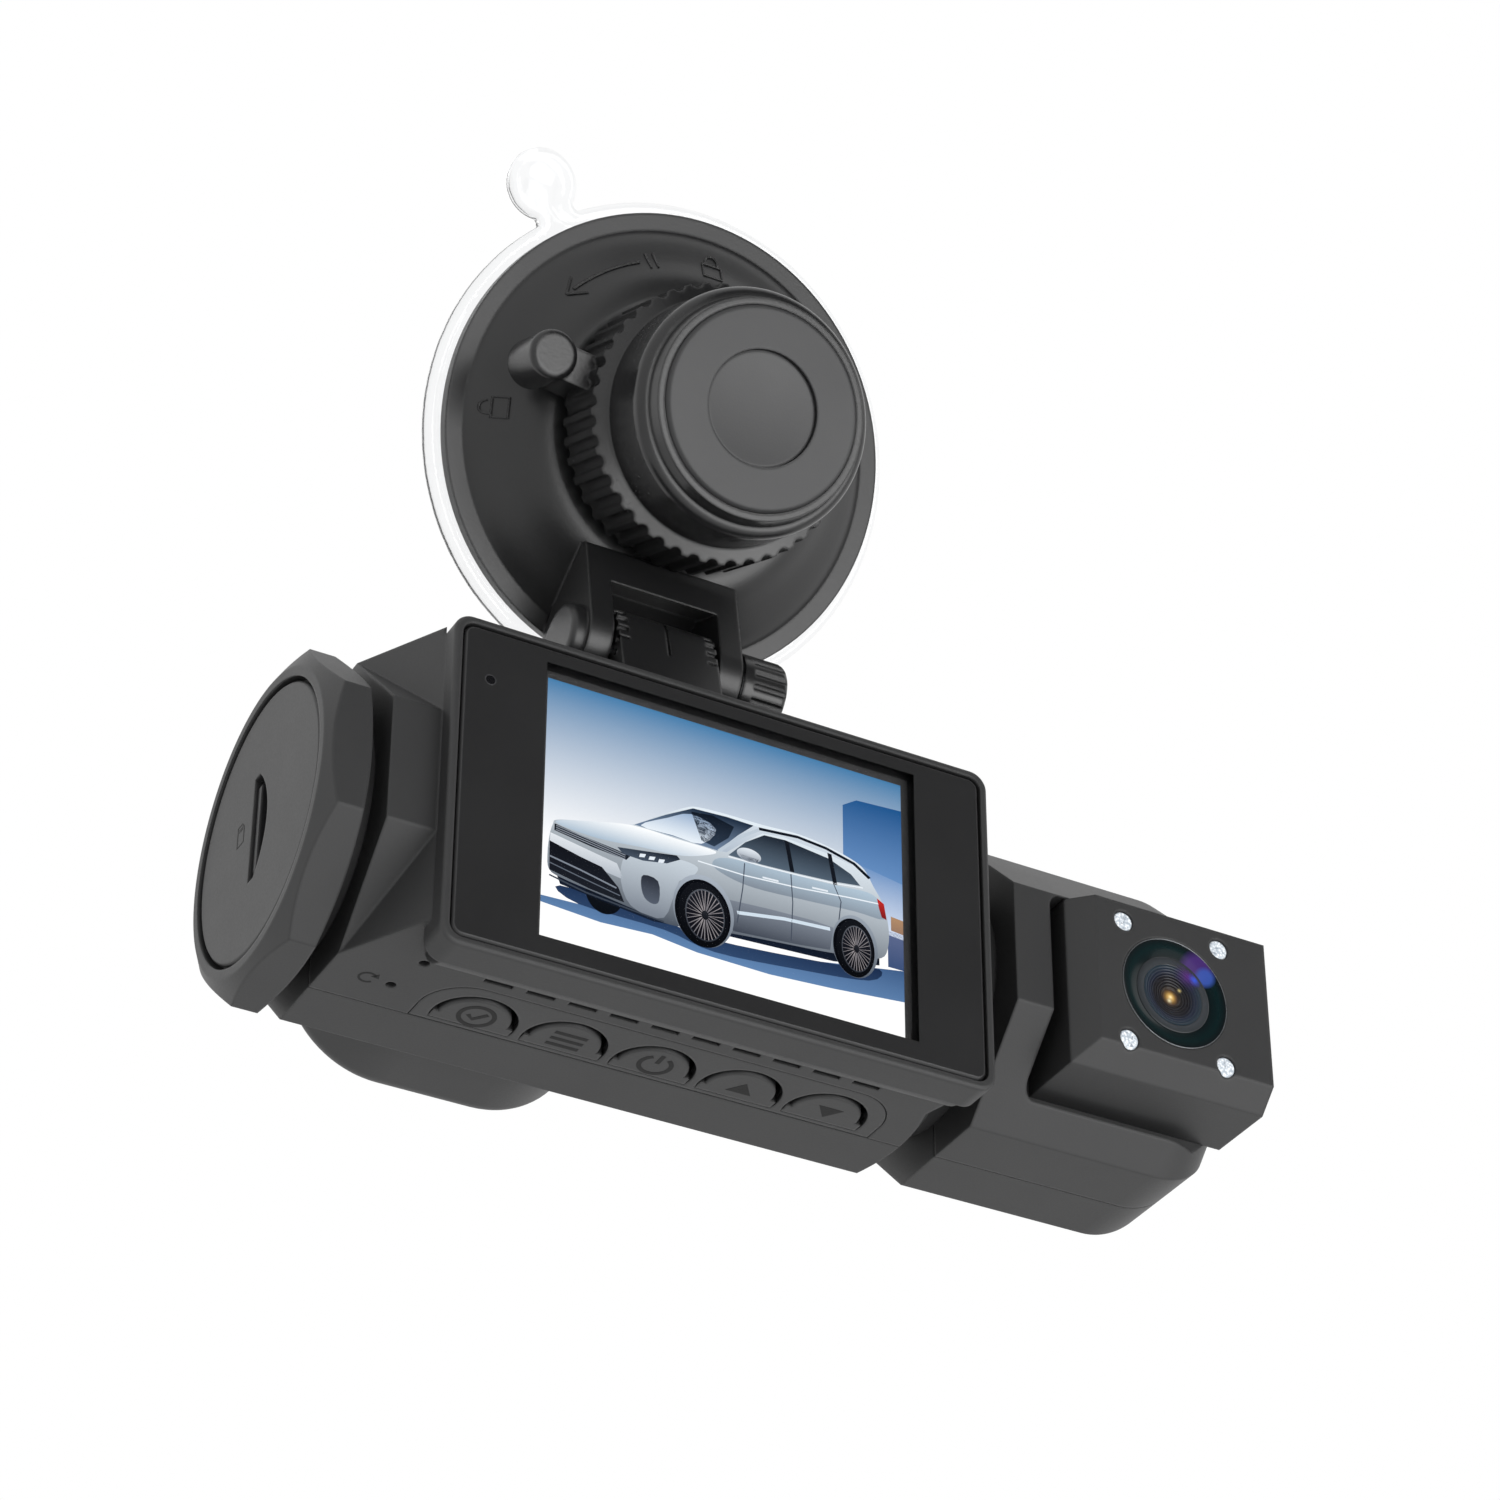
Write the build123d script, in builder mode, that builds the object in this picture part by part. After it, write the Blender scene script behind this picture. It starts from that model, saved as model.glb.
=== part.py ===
"""Windscreen dash camera with a screen, a front lens and a swivelling cabin camera.

The origin is the centre of the suction pad's face on the glass. +X runs along the camera body, to the
driver's right, +Y points out through the windscreen, and +Z is up. All sizes are millimetres.
"""

import math
import os

from build123d import *

# ---------------------------------------------------------------- driving dimensions
# camera body: an octagonal tube along X
BODY_FLATS = 34.4
WALL = 1.6
FLANGE_X = -36.1
BODY_END_X = 31.5
BODY_END_STEP = 1.8
SEAM_Y = 0.1
SEAM_GAP = 0.14
AXIS_DROP = 62.2
AXIS_BACK = 1.0

# display housing on the driver's side
POD_HALF_LENGTH = 30.8
POD_PROUD = 2.18
POD_TOP_Z = 17.9
POD_BOTTOM_Z = -20.57
POD_LIP_DEPTH = 4.0
POD_CORNER = 2.0
COVE_REACH = 4.2
BEZEL = 0.85
GLASS_THICK = 1.3
GLASS_CORNER = 1.2
GLASS_GAP = 0.25
LCD_SIZE = (46.6, 34.0)
LCD_THICK = 2.3
LCD_CENTRE = (0.64, -1.1)

# left end cap with the card slot
CAP_GAP = 2.4
CAP_LENGTH = 4.3
CAP_CHAMFER = 1.5
CAP_DISC_R = 14.75
CAP_DISC_THICK = 1.4
CAP_BORE_R = 11.6
CAP_NECK_R = 13.5
CARD_SLOT_LENGTH = 12.4
CARD_SLOT_WIDTH = 1.5
CARD_SLOT_BOW = 2.6
CARD_Y = 1.1
CARD_SIZE = (15.0, 0.75, 11.0)

# front lens boss on the windscreen side
BOSS_X = -13.8
BOSS_Z = -1.3
BOSS_R = 11.3
BOSS_SPACING = 10.6
BOSS_REACH_Y = 23.1
FRONT_BARREL_R = 6.4
FRONT_RING_R = 8.8

# controls on the bottom face
BUTTON_PITCH = 9.96
BUTTON_FIRST_X = -19.2
BUTTON_NAMES = ("confirm", "menu", "power", "up", "down")
BUTTON_Y = -1.9
BUTTON_SLOT_R = 4.55
BUTTON_SLOT = 0.7
BUTTON_HINGE_Y = -0.55
STRIP_DEPTH = 0.8
STRIP_TOP_Y = -7.8
STRIP_MARGIN = 6.3
RESET_X, RESET_Y, RESET_R = -29.2, -4.2, 0.45
MIC_X, MIC_Y = -28.0, -9.4
SOUND_SLOTS = 10
SOUND_SLOT_PITCH = 4.6
SOUND_SLOT_SIZE = (3.1, 0.6)
SOUND_Y = -9.4

# swivelling cabin camera at the right end
CABIN_X = 35.03
CABIN_END_X = 65.9
CABIN_END_ROUND = 8.5
RECESS_X = 39.4
RECESS_FLOOR_Y = -8.8
RECESS_LOW_Z = -14.1
RECESS_CORNER = 1.6
BLOCK_X = (41.3, 64.9)
BLOCK_Z = (-12.8, 6.95)
BLOCK_FACE_Y = -19.4
BLOCK_CHAMFER = 2.4
BLOCK_WALL = 1.4
LENS_X, LENS_Z = 53.1, -2.4
CABIN_RING_R = 6.45
CABIN_BARREL_R = 5.2
LED_SPACING = (11.9, 14.3)
LED_R = 1.15
NECK_R = 9.0
NECK_BORE_R = 6.5
COLLAR_R = 13.4
COLLAR_GAP = 0.5

# suction mount: heights are measured from the glass, along the pad's axis
RAKE = 25
PAD_R = 27.75
PAD_THICK = 2.0
TAB_THICK = 0.9
TAB_REACH = 35.9
TAB_ANGLE = 129
TAB_WIDTH = 8.2
TAB_NECK = 4.6
BASE_R = 26.1
RIM_H = 3.4
RIM_WIDTH = 2.0
DOME_R = 15.7
DOME_H = 8.9
BASE_WALL = 1.5
KNOB_BOTTOM_H = 10.6
FLUTE_R = 15.35
FLUTE_TOP_H = 18.4
FLUTE_COUNT = 44
DRUM_R = 13.6
DRUM_TOP_H = 26.4
DRUM_WALL = 1.7
FACE_R = 11.8
FACE_H = 28.4
INSET_R = 6.3
LEVER_R = 2.75
LEVER_AT = 20.1
LEVER_ANGLE = 175
LEVER_TOP_H = 17.3
STUD_R = 2.0
STUD_LIFT = 2.0

# clevis and bracket
HINGE_V = -26.3
HINGE_H = 12.1
EAR_R = 4.6
EAR_THICK = 2.75
KNUCKLE_WIDTH = 11.8
KNUCKLE_CLEARANCE = 0.5
RIDGE_V = -15.2
RIDGE_H = 9.6
RIDGE_ROUND = 0.4
WINDOW_TOP_V = -18.95
BRACKET_Y = -5.5
BOLT_R = 1.5
KNOB_SCREW_R = 4.15
KNOB_SCREW_LENGTH = 5.4
NUT_FLATS = 5.5
STEM_THICK = 7.0
FOOT_SIZE = (22.0, 10.6, 2.2)

# fasteners and fits
RUNNING = 0.05
FREE = 0.3
POST_R = 1.85
SCREW_R = 1.0
SCREW_HEAD_R = 1.8
SCREW_HEAD = 1.3
RECESS_ARM = SCREW_HEAD_R * 1.2
RECESS_ARM_WIDTH = 0.4
RECESS_DEPTH = 0.6
BODY_SCREW_Z = 11.4
BODY_SCREWS = [(x, z) for x in (-31.65, 26.15) for z in (-BODY_SCREW_Z, BODY_SCREW_Z)]
CABIN_SCREWS = [(41.5, 0), (62.5, 0)]

# ---------------------------------------------------------------- derived places
AXIS_Y = AXIS_BACK
AXIS_Z = -AXIS_DROP
FACET = BODY_FLATS / 2
VERTEX = FACET * math.tan(math.radians(22.5))
CORNER_R = FACET / math.cos(math.radians(22.5))
POD_FRONT_Y = -FACET - POD_PROUD
POD_BACK_Y = POD_FRONT_Y + POD_LIP_DEPTH
GLASS_BACK_Y = POD_FRONT_Y + GLASS_THICK + 0.05
CAP_REAR_X = FLANGE_X - CAP_GAP
CAP_END_X = CAP_REAR_X - CAP_LENGTH
INNER_FLATS = BODY_FLATS - 2 * WALL
INNER_FACET = INNER_FLATS / 2
INNER_VERTEX = INNER_FACET * math.tan(math.radians(22.5))
CABIN_SEAT_Y = INNER_FACET + 0.25
SCREW_SEAT_Y = INNER_FACET + INNER_VERTEX - BODY_SCREW_Z - POST_R + 0.8
BODY_WALL_X = BODY_END_X - WALL
POD_CENTRE_Z = (POD_TOP_Z + POD_BOTTOM_Z) / 2
POD_HEIGHT = POD_TOP_Z - POD_BOTTOM_Z
BUTTON_XS = [BUTTON_FIRST_X + i * BUTTON_PITCH for i in range(len(BUTTON_NAMES))]
BUTTON_MID_X = (BUTTON_XS[0] + BUTTON_XS[-1]) / 2
EAR_INNER_X = KNUCKLE_WIDTH / 2 + KNUCKLE_CLEARANCE
EAR_OUTER_X = EAR_INNER_X + EAR_THICK
FRONT_SIDE_Y = SEAM_Y - SEAM_GAP / 2
REAR_SIDE_Y = SEAM_Y + SEAM_GAP / 2
BUTTON_BOARD_Z = -INNER_FACET + 4.4
PCB_Y = 2.0
PCB_THICK = 1.2
PCB_BACK_Y = PCB_Y + PCB_THICK

body_axis = Axis((0, AXIS_Y, AXIS_Z), (1, 0, 0))
glass_normal = Vector(0, -math.cos(math.radians(RAKE)), -math.sin(math.radians(RAKE)))
pad_axis = Axis((0, 0, 0), glass_normal)
pad_plane = Plane(origin=(0, 0, 0), x_dir=(1, 0, 0), z_dir=glass_normal)
hinge_point = pad_plane.from_local_coords(Vector(0, HINGE_V, HINGE_H))
HINGE_Y = hinge_point.Y - AXIS_Y
HINGE_Z = hinge_point.Z - AXIS_Z


def across(x):
    """A section plane of the body at x: sketch x is Y, sketch y is Z, both from the body's axis."""
    return Plane(origin=(x, AXIS_Y, AXIS_Z), x_dir=(0, 1, 0), z_dir=(1, 0, 0))


def across_hinge(x):
    """A sketch plane across the hinge, a distance along it from its middle."""
    return Plane(origin=hinge_point + Vector(x, 0, 0), x_dir=(0, 1, 0), z_dir=(1, 0, 0))


def facing(y):
    """A plane facing the driver at y: sketch x is X, sketch y is Z, and it extrudes towards the driver."""
    return Plane(origin=(0, AXIS_Y + y, AXIS_Z), x_dir=(1, 0, 0), z_dir=(0, -1, 0))


def level(z):
    """A level plane at z from the body's axis."""
    return Plane(origin=(0, AXIS_Y, AXIS_Z + z))


def above_glass(height):
    """A plane parallel to the windscreen, at a height on the cabin's side."""
    return pad_plane.offset(height)


def radial_plane():
    """The plane that holds the body's axis: sketch x is X and sketch y is the radius, towards +Z."""
    return Plane(origin=(0, AXIS_Y, AXIS_Z), x_dir=(1, 0, 0), z_dir=(0, -1, 0))


def pad_radial_plane():
    """The plane that holds the pad's axis: sketch x is the radius, and sketch y is the height."""
    return Plane(origin=(0, 0, 0), x_dir=(1, 0, 0), z_dir=pad_plane.y_dir * -1)


def octagon(flats):
    """A regular octagon with flats on all four sides."""
    RegularPolygon(flats / 2, 8, major_radius=False, rotation=22.5)


def outline(*points):
    """A filled polygon through the points."""
    Polygon(*points, align=None)


def save(piece, name):
    """Name the finished piece and write its file."""
    piece.label = name
    export_step(piece, f"parts/{name}.step")


os.makedirs("parts", exist_ok=True)

# ================================================================ suction mount
# clear pad, flat on the glass, with a pull tab and a pocket for the stud's foot
FOOT_R = 6.5
FOOT_THICK = 1.2
PAD_FLOOR = PAD_THICK - FOOT_THICK
with BuildPart() as suction_pad:
    with BuildSketch(pad_plane):
        Circle(PAD_R)
    extrude(amount=PAD_THICK)
    chamfer(suction_pad.faces().sort_by(pad_axis)[-1].edges(), length=PAD_THICK * 0.55, length2=2.6)
    with BuildSketch(pad_plane):
        with PolarLocations(TAB_REACH - TAB_WIDTH / 2, 1, TAB_ANGLE):
            Circle(TAB_WIDTH / 2)
        with PolarLocations(TAB_REACH - TAB_WIDTH, 1, TAB_ANGLE):
            Rectangle(TAB_WIDTH, TAB_NECK)
    extrude(amount=TAB_THICK)
    with BuildSketch(above_glass(PAD_FLOOR)):
        Circle(FOOT_R + FREE)
    extrude(amount=PAD_THICK, mode=Mode.SUBTRACT)
save(suction_pad.part, "suction_pad")

# black base: a domed shell with the clevis ears at its lower edge
HUB_R = 9.5
HUB_TOP_H = KNOB_BOTTOM_H - 0.4
KNOB_TOP_H = FACE_H
WINDOW_FLOOR_H = 7.6
BOSS_BOTTOM_H = PAD_FLOOR + FOOT_THICK + STUD_LIFT + 0.5
HUMP_R = 3.9
ARM_EDGE = 0.8
NUT_THICK = 2.3
NUT_DEPTH = 1.4
HUMP_HEIGHT = NUT_THICK - NUT_DEPTH + 0.8
NUT_X = -EAR_OUTER_X - NUT_THICK + NUT_DEPTH
with BuildPart() as mount_base:
    with BuildSketch(pad_radial_plane()):
        with BuildLine():
            Line((0, PAD_THICK), (BASE_R, PAD_THICK))
            Line((BASE_R, PAD_THICK), (BASE_R, RIM_H))
            Line((BASE_R, RIM_H), (BASE_R - RIM_WIDTH, RIM_H))
            Spline(
                (BASE_R - RIM_WIDTH, RIM_H),
                ((BASE_R - RIM_WIDTH + DOME_R) / 2, (RIM_H + DOME_H) / 2 + 0.4),
                (DOME_R, DOME_H),
                tangents=((-0.6, 0.8), (-1, 0.12)),
            )
            Line((DOME_R, DOME_H), (HUB_R, DOME_H + 0.2))
            Line((HUB_R, DOME_H + 0.2), (HUB_R, HUB_TOP_H))
            Line((HUB_R, HUB_TOP_H), (0, HUB_TOP_H))
            Line((0, HUB_TOP_H), (0, PAD_THICK))
        make_face()
    revolve(axis=pad_axis)
    # hollow underside round the stud's boss
    with BuildSketch(pad_radial_plane()):
        outline(
            (STUD_R + 2.0, PAD_THICK),
            (BASE_R - RIM_WIDTH - BASE_WALL, PAD_THICK),
            (DOME_R, DOME_H - BASE_WALL),
            (STUD_R + 2.0, DOME_H - BASE_WALL),
        )
    revolve(axis=pad_axis, mode=Mode.SUBTRACT)
    with BuildSketch(above_glass(0)):
        Circle(STUD_R + 2.5)
    extrude(amount=BOSS_BOTTOM_H, mode=Mode.SUBTRACT)
    # arm and ears
    with BuildSketch(Plane(origin=(0, 0, 0), x_dir=pad_plane.y_dir, z_dir=(1, 0, 0))):
        with BuildLine():
            CenterArc((HINGE_V, HINGE_H), EAR_R, 0, 360)
            CenterArc((RIDGE_V, RIDGE_H), RIDGE_ROUND, 0, 360)
            CenterArc((RIDGE_V, DOME_H - 2), RIDGE_ROUND, 0, 360)
            CenterArc((-BASE_R + 1.5, RIM_H + 0.6), ARM_EDGE, 0, 360)
        make_hull()
    extrude(amount=EAR_OUTER_X, both=True)
    with BuildSketch(Plane(hinge_point + Vector(-EAR_OUTER_X, 0, 0), x_dir=(0, 1, 0), z_dir=(-1, 0, 0))):
        Circle(HUMP_R)
    extrude(amount=HUMP_HEIGHT)
    hump_end = hinge_point + Vector(-EAR_OUTER_X - HUMP_HEIGHT, 0, 0)
    fillet(mount_base.faces().filter_by(Axis.X).sort_by_distance(hump_end)[0].edges(), 0.7)
    # open window between the arms, under the ridge
    with BuildSketch(Plane(origin=(0, 0, 0), x_dir=pad_plane.y_dir, z_dir=(1, 0, 0))):
        outline(
            (WINDOW_TOP_V, KNOB_TOP_H),
            (WINDOW_TOP_V, WINDOW_FLOOR_H),
            (-BASE_R + RIM_WIDTH, RIM_H + 0.5),
            (-BASE_R, RIM_H + 0.2),
            (HINGE_V - EAR_R - 1, RIM_H + 0.2),
            (HINGE_V - EAR_R - 1, KNOB_TOP_H),
        )
    extrude(amount=EAR_INNER_X, both=True, mode=Mode.SUBTRACT)
    # gap for the knuckle and its stem
    with BuildSketch(across_hinge(0)):
        Circle(EAR_R + KNUCKLE_CLEARANCE)
        with Locations((-5.0, -10)):
            Rectangle(34, 20)
    extrude(amount=EAR_INNER_X, both=True, mode=Mode.SUBTRACT)
    # bolt bore, nut pocket and stud bore
    with BuildSketch(across_hinge(NUT_X)):
        Circle(BOLT_R + RUNNING)
    extrude(amount=EAR_OUTER_X - NUT_X + 1, mode=Mode.SUBTRACT)
    with BuildSketch(across_hinge(NUT_X)):
        RegularPolygon(NUT_FLATS / 2 + RUNNING, 6, major_radius=False)
    extrude(amount=NUT_THICK, mode=Mode.SUBTRACT)
    with BuildSketch(pad_plane):
        Circle(STUD_R + RUNNING)
    extrude(amount=KNOB_BOTTOM_H, mode=Mode.SUBTRACT)
save(mount_base.part, "mount_base")

with BuildPart() as hinge_nut:
    with BuildSketch(across_hinge(NUT_X)):
        RegularPolygon(NUT_FLATS / 2, 6, major_radius=False)
        Circle(BOLT_R + RUNNING, mode=Mode.SUBTRACT)
    extrude(amount=NUT_THICK)
save(hinge_nut.part, "hinge_nut")

# stud that lifts the pad's centre when the knob turns
STUD_TOP_H = KNOB_BOTTOM_H + 6.0
WASHER_R = 5.0
WASHER_THICK = 0.8
with BuildPart() as pull_stud:
    with BuildSketch(above_glass(PAD_FLOOR)):
        Circle(FOOT_R)
    extrude(amount=FOOT_THICK)
    with BuildSketch(above_glass(PAD_FLOOR + FOOT_THICK)):
        Circle(STUD_R)
    extrude(amount=STUD_TOP_H - PAD_FLOOR - FOOT_THICK)
    with BuildSketch(above_glass(STUD_TOP_H)):
        Circle(SCREW_R)
    extrude(amount=-7.0, mode=Mode.SUBTRACT)
save(pull_stud.part, "pull_stud")

with BuildPart() as stud_washer:
    with BuildSketch(above_glass(STUD_TOP_H)):
        Circle(WASHER_R)
        Circle(SCREW_R + RUNNING, mode=Mode.SUBTRACT)
    extrude(amount=WASHER_THICK)
save(stud_washer.part, "stud_washer")

with BuildPart() as stud_screw:
    with BuildSketch(above_glass(STUD_TOP_H + WASHER_THICK)):
        Circle(SCREW_HEAD_R)
    extrude(amount=SCREW_HEAD)
    with BuildSketch(above_glass(STUD_TOP_H + WASHER_THICK + SCREW_HEAD)):
        Rectangle(RECESS_ARM, RECESS_ARM_WIDTH)
        Rectangle(RECESS_ARM_WIDTH, RECESS_ARM)
    extrude(amount=-RECESS_DEPTH, mode=Mode.SUBTRACT)
    with BuildSketch(above_glass(STUD_TOP_H + WASHER_THICK)):
        Circle(SCREW_R - RUNNING)
    extrude(amount=-6.5)
save(stud_screw.part, "stud_screw")

# turning lock: fluted ring, drum and lever in one moulding
NUT_R = 5.4
NUT_TOP_H = STUD_TOP_H - 0.15
NUT_BORE_R = STUD_R + 4.0
DRUM_LIP_R = FACE_R + 0.2
DRUM_LIP_H = FACE_H - 0.4
CAP_SEAT_R = DRUM_LIP_R - DRUM_WALL + 0.9
CAP_DEPTH = 2.2
CAP_LEDGE_R = FACE_R - CAP_DEPTH
DRUM_FLOOR_H = KNOB_BOTTOM_H + 1.8
DRUM_ROUND = 1.2
with BuildPart() as lock_knob:
    with BuildSketch(pad_radial_plane()):
        with BuildLine():
            Polyline(
                (NUT_BORE_R, KNOB_BOTTOM_H),
                (FLUTE_R, KNOB_BOTTOM_H),
                (FLUTE_R, FLUTE_TOP_H),
                (DRUM_R, FLUTE_TOP_H + 0.5),
                (DRUM_R, DRUM_TOP_H - DRUM_ROUND),
            )
            TangentArc((DRUM_R, DRUM_TOP_H - DRUM_ROUND), (DRUM_R - DRUM_ROUND, DRUM_TOP_H), tangent=(0, 1))
            Polyline(
                (DRUM_R - DRUM_ROUND, DRUM_TOP_H),
                (DRUM_LIP_R, DRUM_LIP_H),
                (CAP_SEAT_R, DRUM_LIP_H),
                (CAP_SEAT_R, FACE_H - CAP_DEPTH),
                (CAP_LEDGE_R, FACE_H - CAP_DEPTH),
                (CAP_LEDGE_R, DRUM_FLOOR_H),
                (NUT_BORE_R, DRUM_FLOOR_H),
                (NUT_BORE_R, KNOB_BOTTOM_H),
            )
        make_face()
    revolve(axis=pad_axis)
    with BuildSketch(above_glass(KNOB_BOTTOM_H)):
        with PolarLocations(FLUTE_R + 0.25, FLUTE_COUNT):
            Circle(0.75)
    extrude(amount=FLUTE_TOP_H - KNOB_BOTTOM_H + 0.6, mode=Mode.SUBTRACT)
    lever_centre = (
        LEVER_AT * math.cos(math.radians(LEVER_ANGLE)),
        LEVER_AT * math.sin(math.radians(LEVER_ANGLE)),
    )
    with BuildSketch(above_glass(KNOB_BOTTOM_H)):
        with Locations(lever_centre):
            Circle(LEVER_R)
    extrude(amount=LEVER_TOP_H - KNOB_BOTTOM_H)
    fillet(lock_knob.faces().filter_by(GeomType.PLANE).sort_by_distance(
        above_glass(LEVER_TOP_H).from_local_coords(Vector(*lever_centre, 0)))[0].edges(), 0.7)
    with BuildSketch(above_glass(KNOB_BOTTOM_H)):
        with PolarLocations((LEVER_AT + FLUTE_R) / 2 - 1.0, 1, LEVER_ANGLE):
            Rectangle(LEVER_AT - FLUTE_R + 1.5, 2 * LEVER_R - 1.6)
    extrude(amount=LEVER_TOP_H - KNOB_BOTTOM_H - 1.2)
save(lock_knob.part, "lock_knob")

with BuildPart() as drive_nut:
    with BuildSketch(above_glass(KNOB_BOTTOM_H)):
        Circle(NUT_BORE_R - RUNNING)
        Circle(STUD_R + RUNNING, mode=Mode.SUBTRACT)
    extrude(amount=2.4)
    with BuildSketch(above_glass(KNOB_BOTTOM_H + 2.4)):
        RegularPolygon(NUT_R - 0.6, 6, major_radius=False)
        Circle(STUD_R + RUNNING, mode=Mode.SUBTRACT)
    extrude(amount=NUT_TOP_H - KNOB_BOTTOM_H - 2.4)
save(drive_nut.part, "drive_nut")

with BuildPart() as knob_cap:
    with BuildSketch(above_glass(FACE_H - CAP_DEPTH)):
        Circle(CAP_SEAT_R - RUNNING)
        Circle(INSET_R + RUNNING, mode=Mode.SUBTRACT)
    extrude(amount=CAP_DEPTH)
    chamfer(knob_cap.faces().sort_by(pad_axis)[-1].outer_wire().edges(), 0.35)
    with BuildSketch(above_glass(FACE_H - 3.2)):
        Circle(CAP_LEDGE_R - RUNNING)
    extrude(amount=1.0)
save(knob_cap.part, "knob_cap")

with BuildPart() as knob_inset:
    with BuildSketch(above_glass(FACE_H - CAP_DEPTH)):
        Circle(INSET_R)
    extrude(amount=1.75)
    DISH_R = 60.0
    with Locations(Location(above_glass(FACE_H - 0.75 + DISH_R).origin)):
        Sphere(DISH_R, mode=Mode.SUBTRACT)
save(knob_inset.part, "knob_inset")

# clamp screw through the clevis
with BuildPart() as clamp_bolt:
    with BuildSketch(across_hinge(NUT_X + FREE)):
        Circle(BOLT_R)
    extrude(amount=EAR_OUTER_X + KNOB_SCREW_LENGTH - 1.1 - NUT_X)
save(clamp_bolt.part, "clamp_bolt")

CLAMP_WASHER = 0.6
with BuildPart() as clamp_washer:
    with BuildSketch(across_hinge(EAR_OUTER_X + RUNNING)):
        Circle(EAR_R - 1.2)
        Circle(BOLT_R + RUNNING, mode=Mode.SUBTRACT)
    extrude(amount=CLAMP_WASHER - 0.1)
save(clamp_washer.part, "clamp_washer")

THUMB_RIBS = 16
with BuildPart() as thumb_knob:
    thumb_plane = across_hinge(EAR_OUTER_X + CLAMP_WASHER)
    with BuildSketch(thumb_plane):
        Circle(KNOB_SCREW_R)
    extrude(amount=KNOB_SCREW_LENGTH)
    fillet(thumb_knob.faces().sort_by(Axis.X)[-1].edges(), 0.8)
    with BuildSketch(thumb_plane.offset(1.2)):
        with PolarLocations(KNOB_SCREW_R + 0.1, THUMB_RIBS):
            Circle(0.42)
    extrude(amount=KNOB_SCREW_LENGTH, mode=Mode.SUBTRACT)
    with BuildSketch(thumb_plane):
        Circle(BOLT_R + RUNNING)
    extrude(amount=KNOB_SCREW_LENGTH - 1.0, mode=Mode.SUBTRACT)
save(thumb_knob.part, "thumb_knob")

# ================================================================ camera bracket
BRACKET_SCREWS = [(-8.0, BRACKET_Y), (8.0, BRACKET_Y)]
with BuildPart() as bracket:
    with BuildSketch(across(0)):
        with BuildLine():
            CenterArc((HINGE_Y, HINGE_Z), EAR_R, 0, 360)
            CenterArc((BRACKET_Y - STEM_THICK / 2 + 1, FACET + 1), 1, 0, 360)
            CenterArc((BRACKET_Y + STEM_THICK / 2 - 1, FACET + 1), 1, 0, 360)
        make_hull()
        with Locations((BRACKET_Y, FACET + 0.5)):
            Rectangle(STEM_THICK, 1)
    extrude(amount=KNUCKLE_WIDTH / 2, both=True)
    with BuildSketch(level(FACET)):
        with Locations((0, BRACKET_Y)):
            RectangleRounded(FOOT_SIZE[0], FOOT_SIZE[1], 1.5)
    extrude(amount=FOOT_SIZE[2])
    chamfer(bracket.edges().group_by(Axis.Z)[2], 0.4)
    # shallow groove where the two moulding halves meet, and detent notches at both sides
    with BuildSketch(across(0)):
        with Locations((HINGE_Y, HINGE_Z)):
            Circle(EAR_R + 1)
            Circle(EAR_R - 0.25, mode=Mode.SUBTRACT)
    extrude(amount=0.15, both=True, mode=Mode.SUBTRACT)
    for side in (-1, 1):
        with BuildSketch(across(side * KNUCKLE_WIDTH / 2)):
            with Locations((HINGE_Y, HINGE_Z)):
                with PolarLocations(EAR_R + 0.1, 20):
                    Rectangle(1.0, 0.7)
        extrude(amount=-side * 1.2, mode=Mode.SUBTRACT)
    with BuildSketch(across(0)):
        with Locations((HINGE_Y, HINGE_Z)):
            Circle(BOLT_R + RUNNING)
    extrude(amount=KNUCKLE_WIDTH, both=True, mode=Mode.SUBTRACT)
    with BuildSketch(level(FACET)):
        with Locations(BRACKET_SCREWS):
            Circle(SCREW_R)
    extrude(amount=FOOT_SIZE[2] - 0.4, mode=Mode.SUBTRACT)
save(bracket.part, "bracket")

with BuildPart() as bracket_screws:
    with BuildSketch(level(INNER_FACET)):
        with Locations(BRACKET_SCREWS):
            Circle(SCREW_HEAD_R)
    extrude(amount=-SCREW_HEAD)
    with BuildSketch(level(INNER_FACET)):
        with Locations(BRACKET_SCREWS):
            Circle(SCREW_R - RUNNING)
    extrude(amount=WALL + FOOT_SIZE[2] - 0.6)
save(bracket_screws.part, "bracket_screws")

# ================================================================ camera body
# outer form: octagonal tube and the display housing that grows out of it
with BuildPart() as body_form:
    with BuildSketch(across(FLANGE_X)):
        octagon(BODY_FLATS)
    extrude(amount=BODY_END_X - FLANGE_X)
    with BuildSketch(radial_plane()):
        outline(
            (FLANGE_X, 0),
            (FLANGE_X, CORNER_R + 1),
            (BODY_END_X - BODY_END_STEP, CORNER_R + 1),
            (BODY_END_X - BODY_END_STEP, CORNER_R),
            (BODY_END_X, CORNER_R - 2.4),
            (BODY_END_X, 0),
        )
    revolve(axis=body_axis, mode=Mode.INTERSECT)

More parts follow.
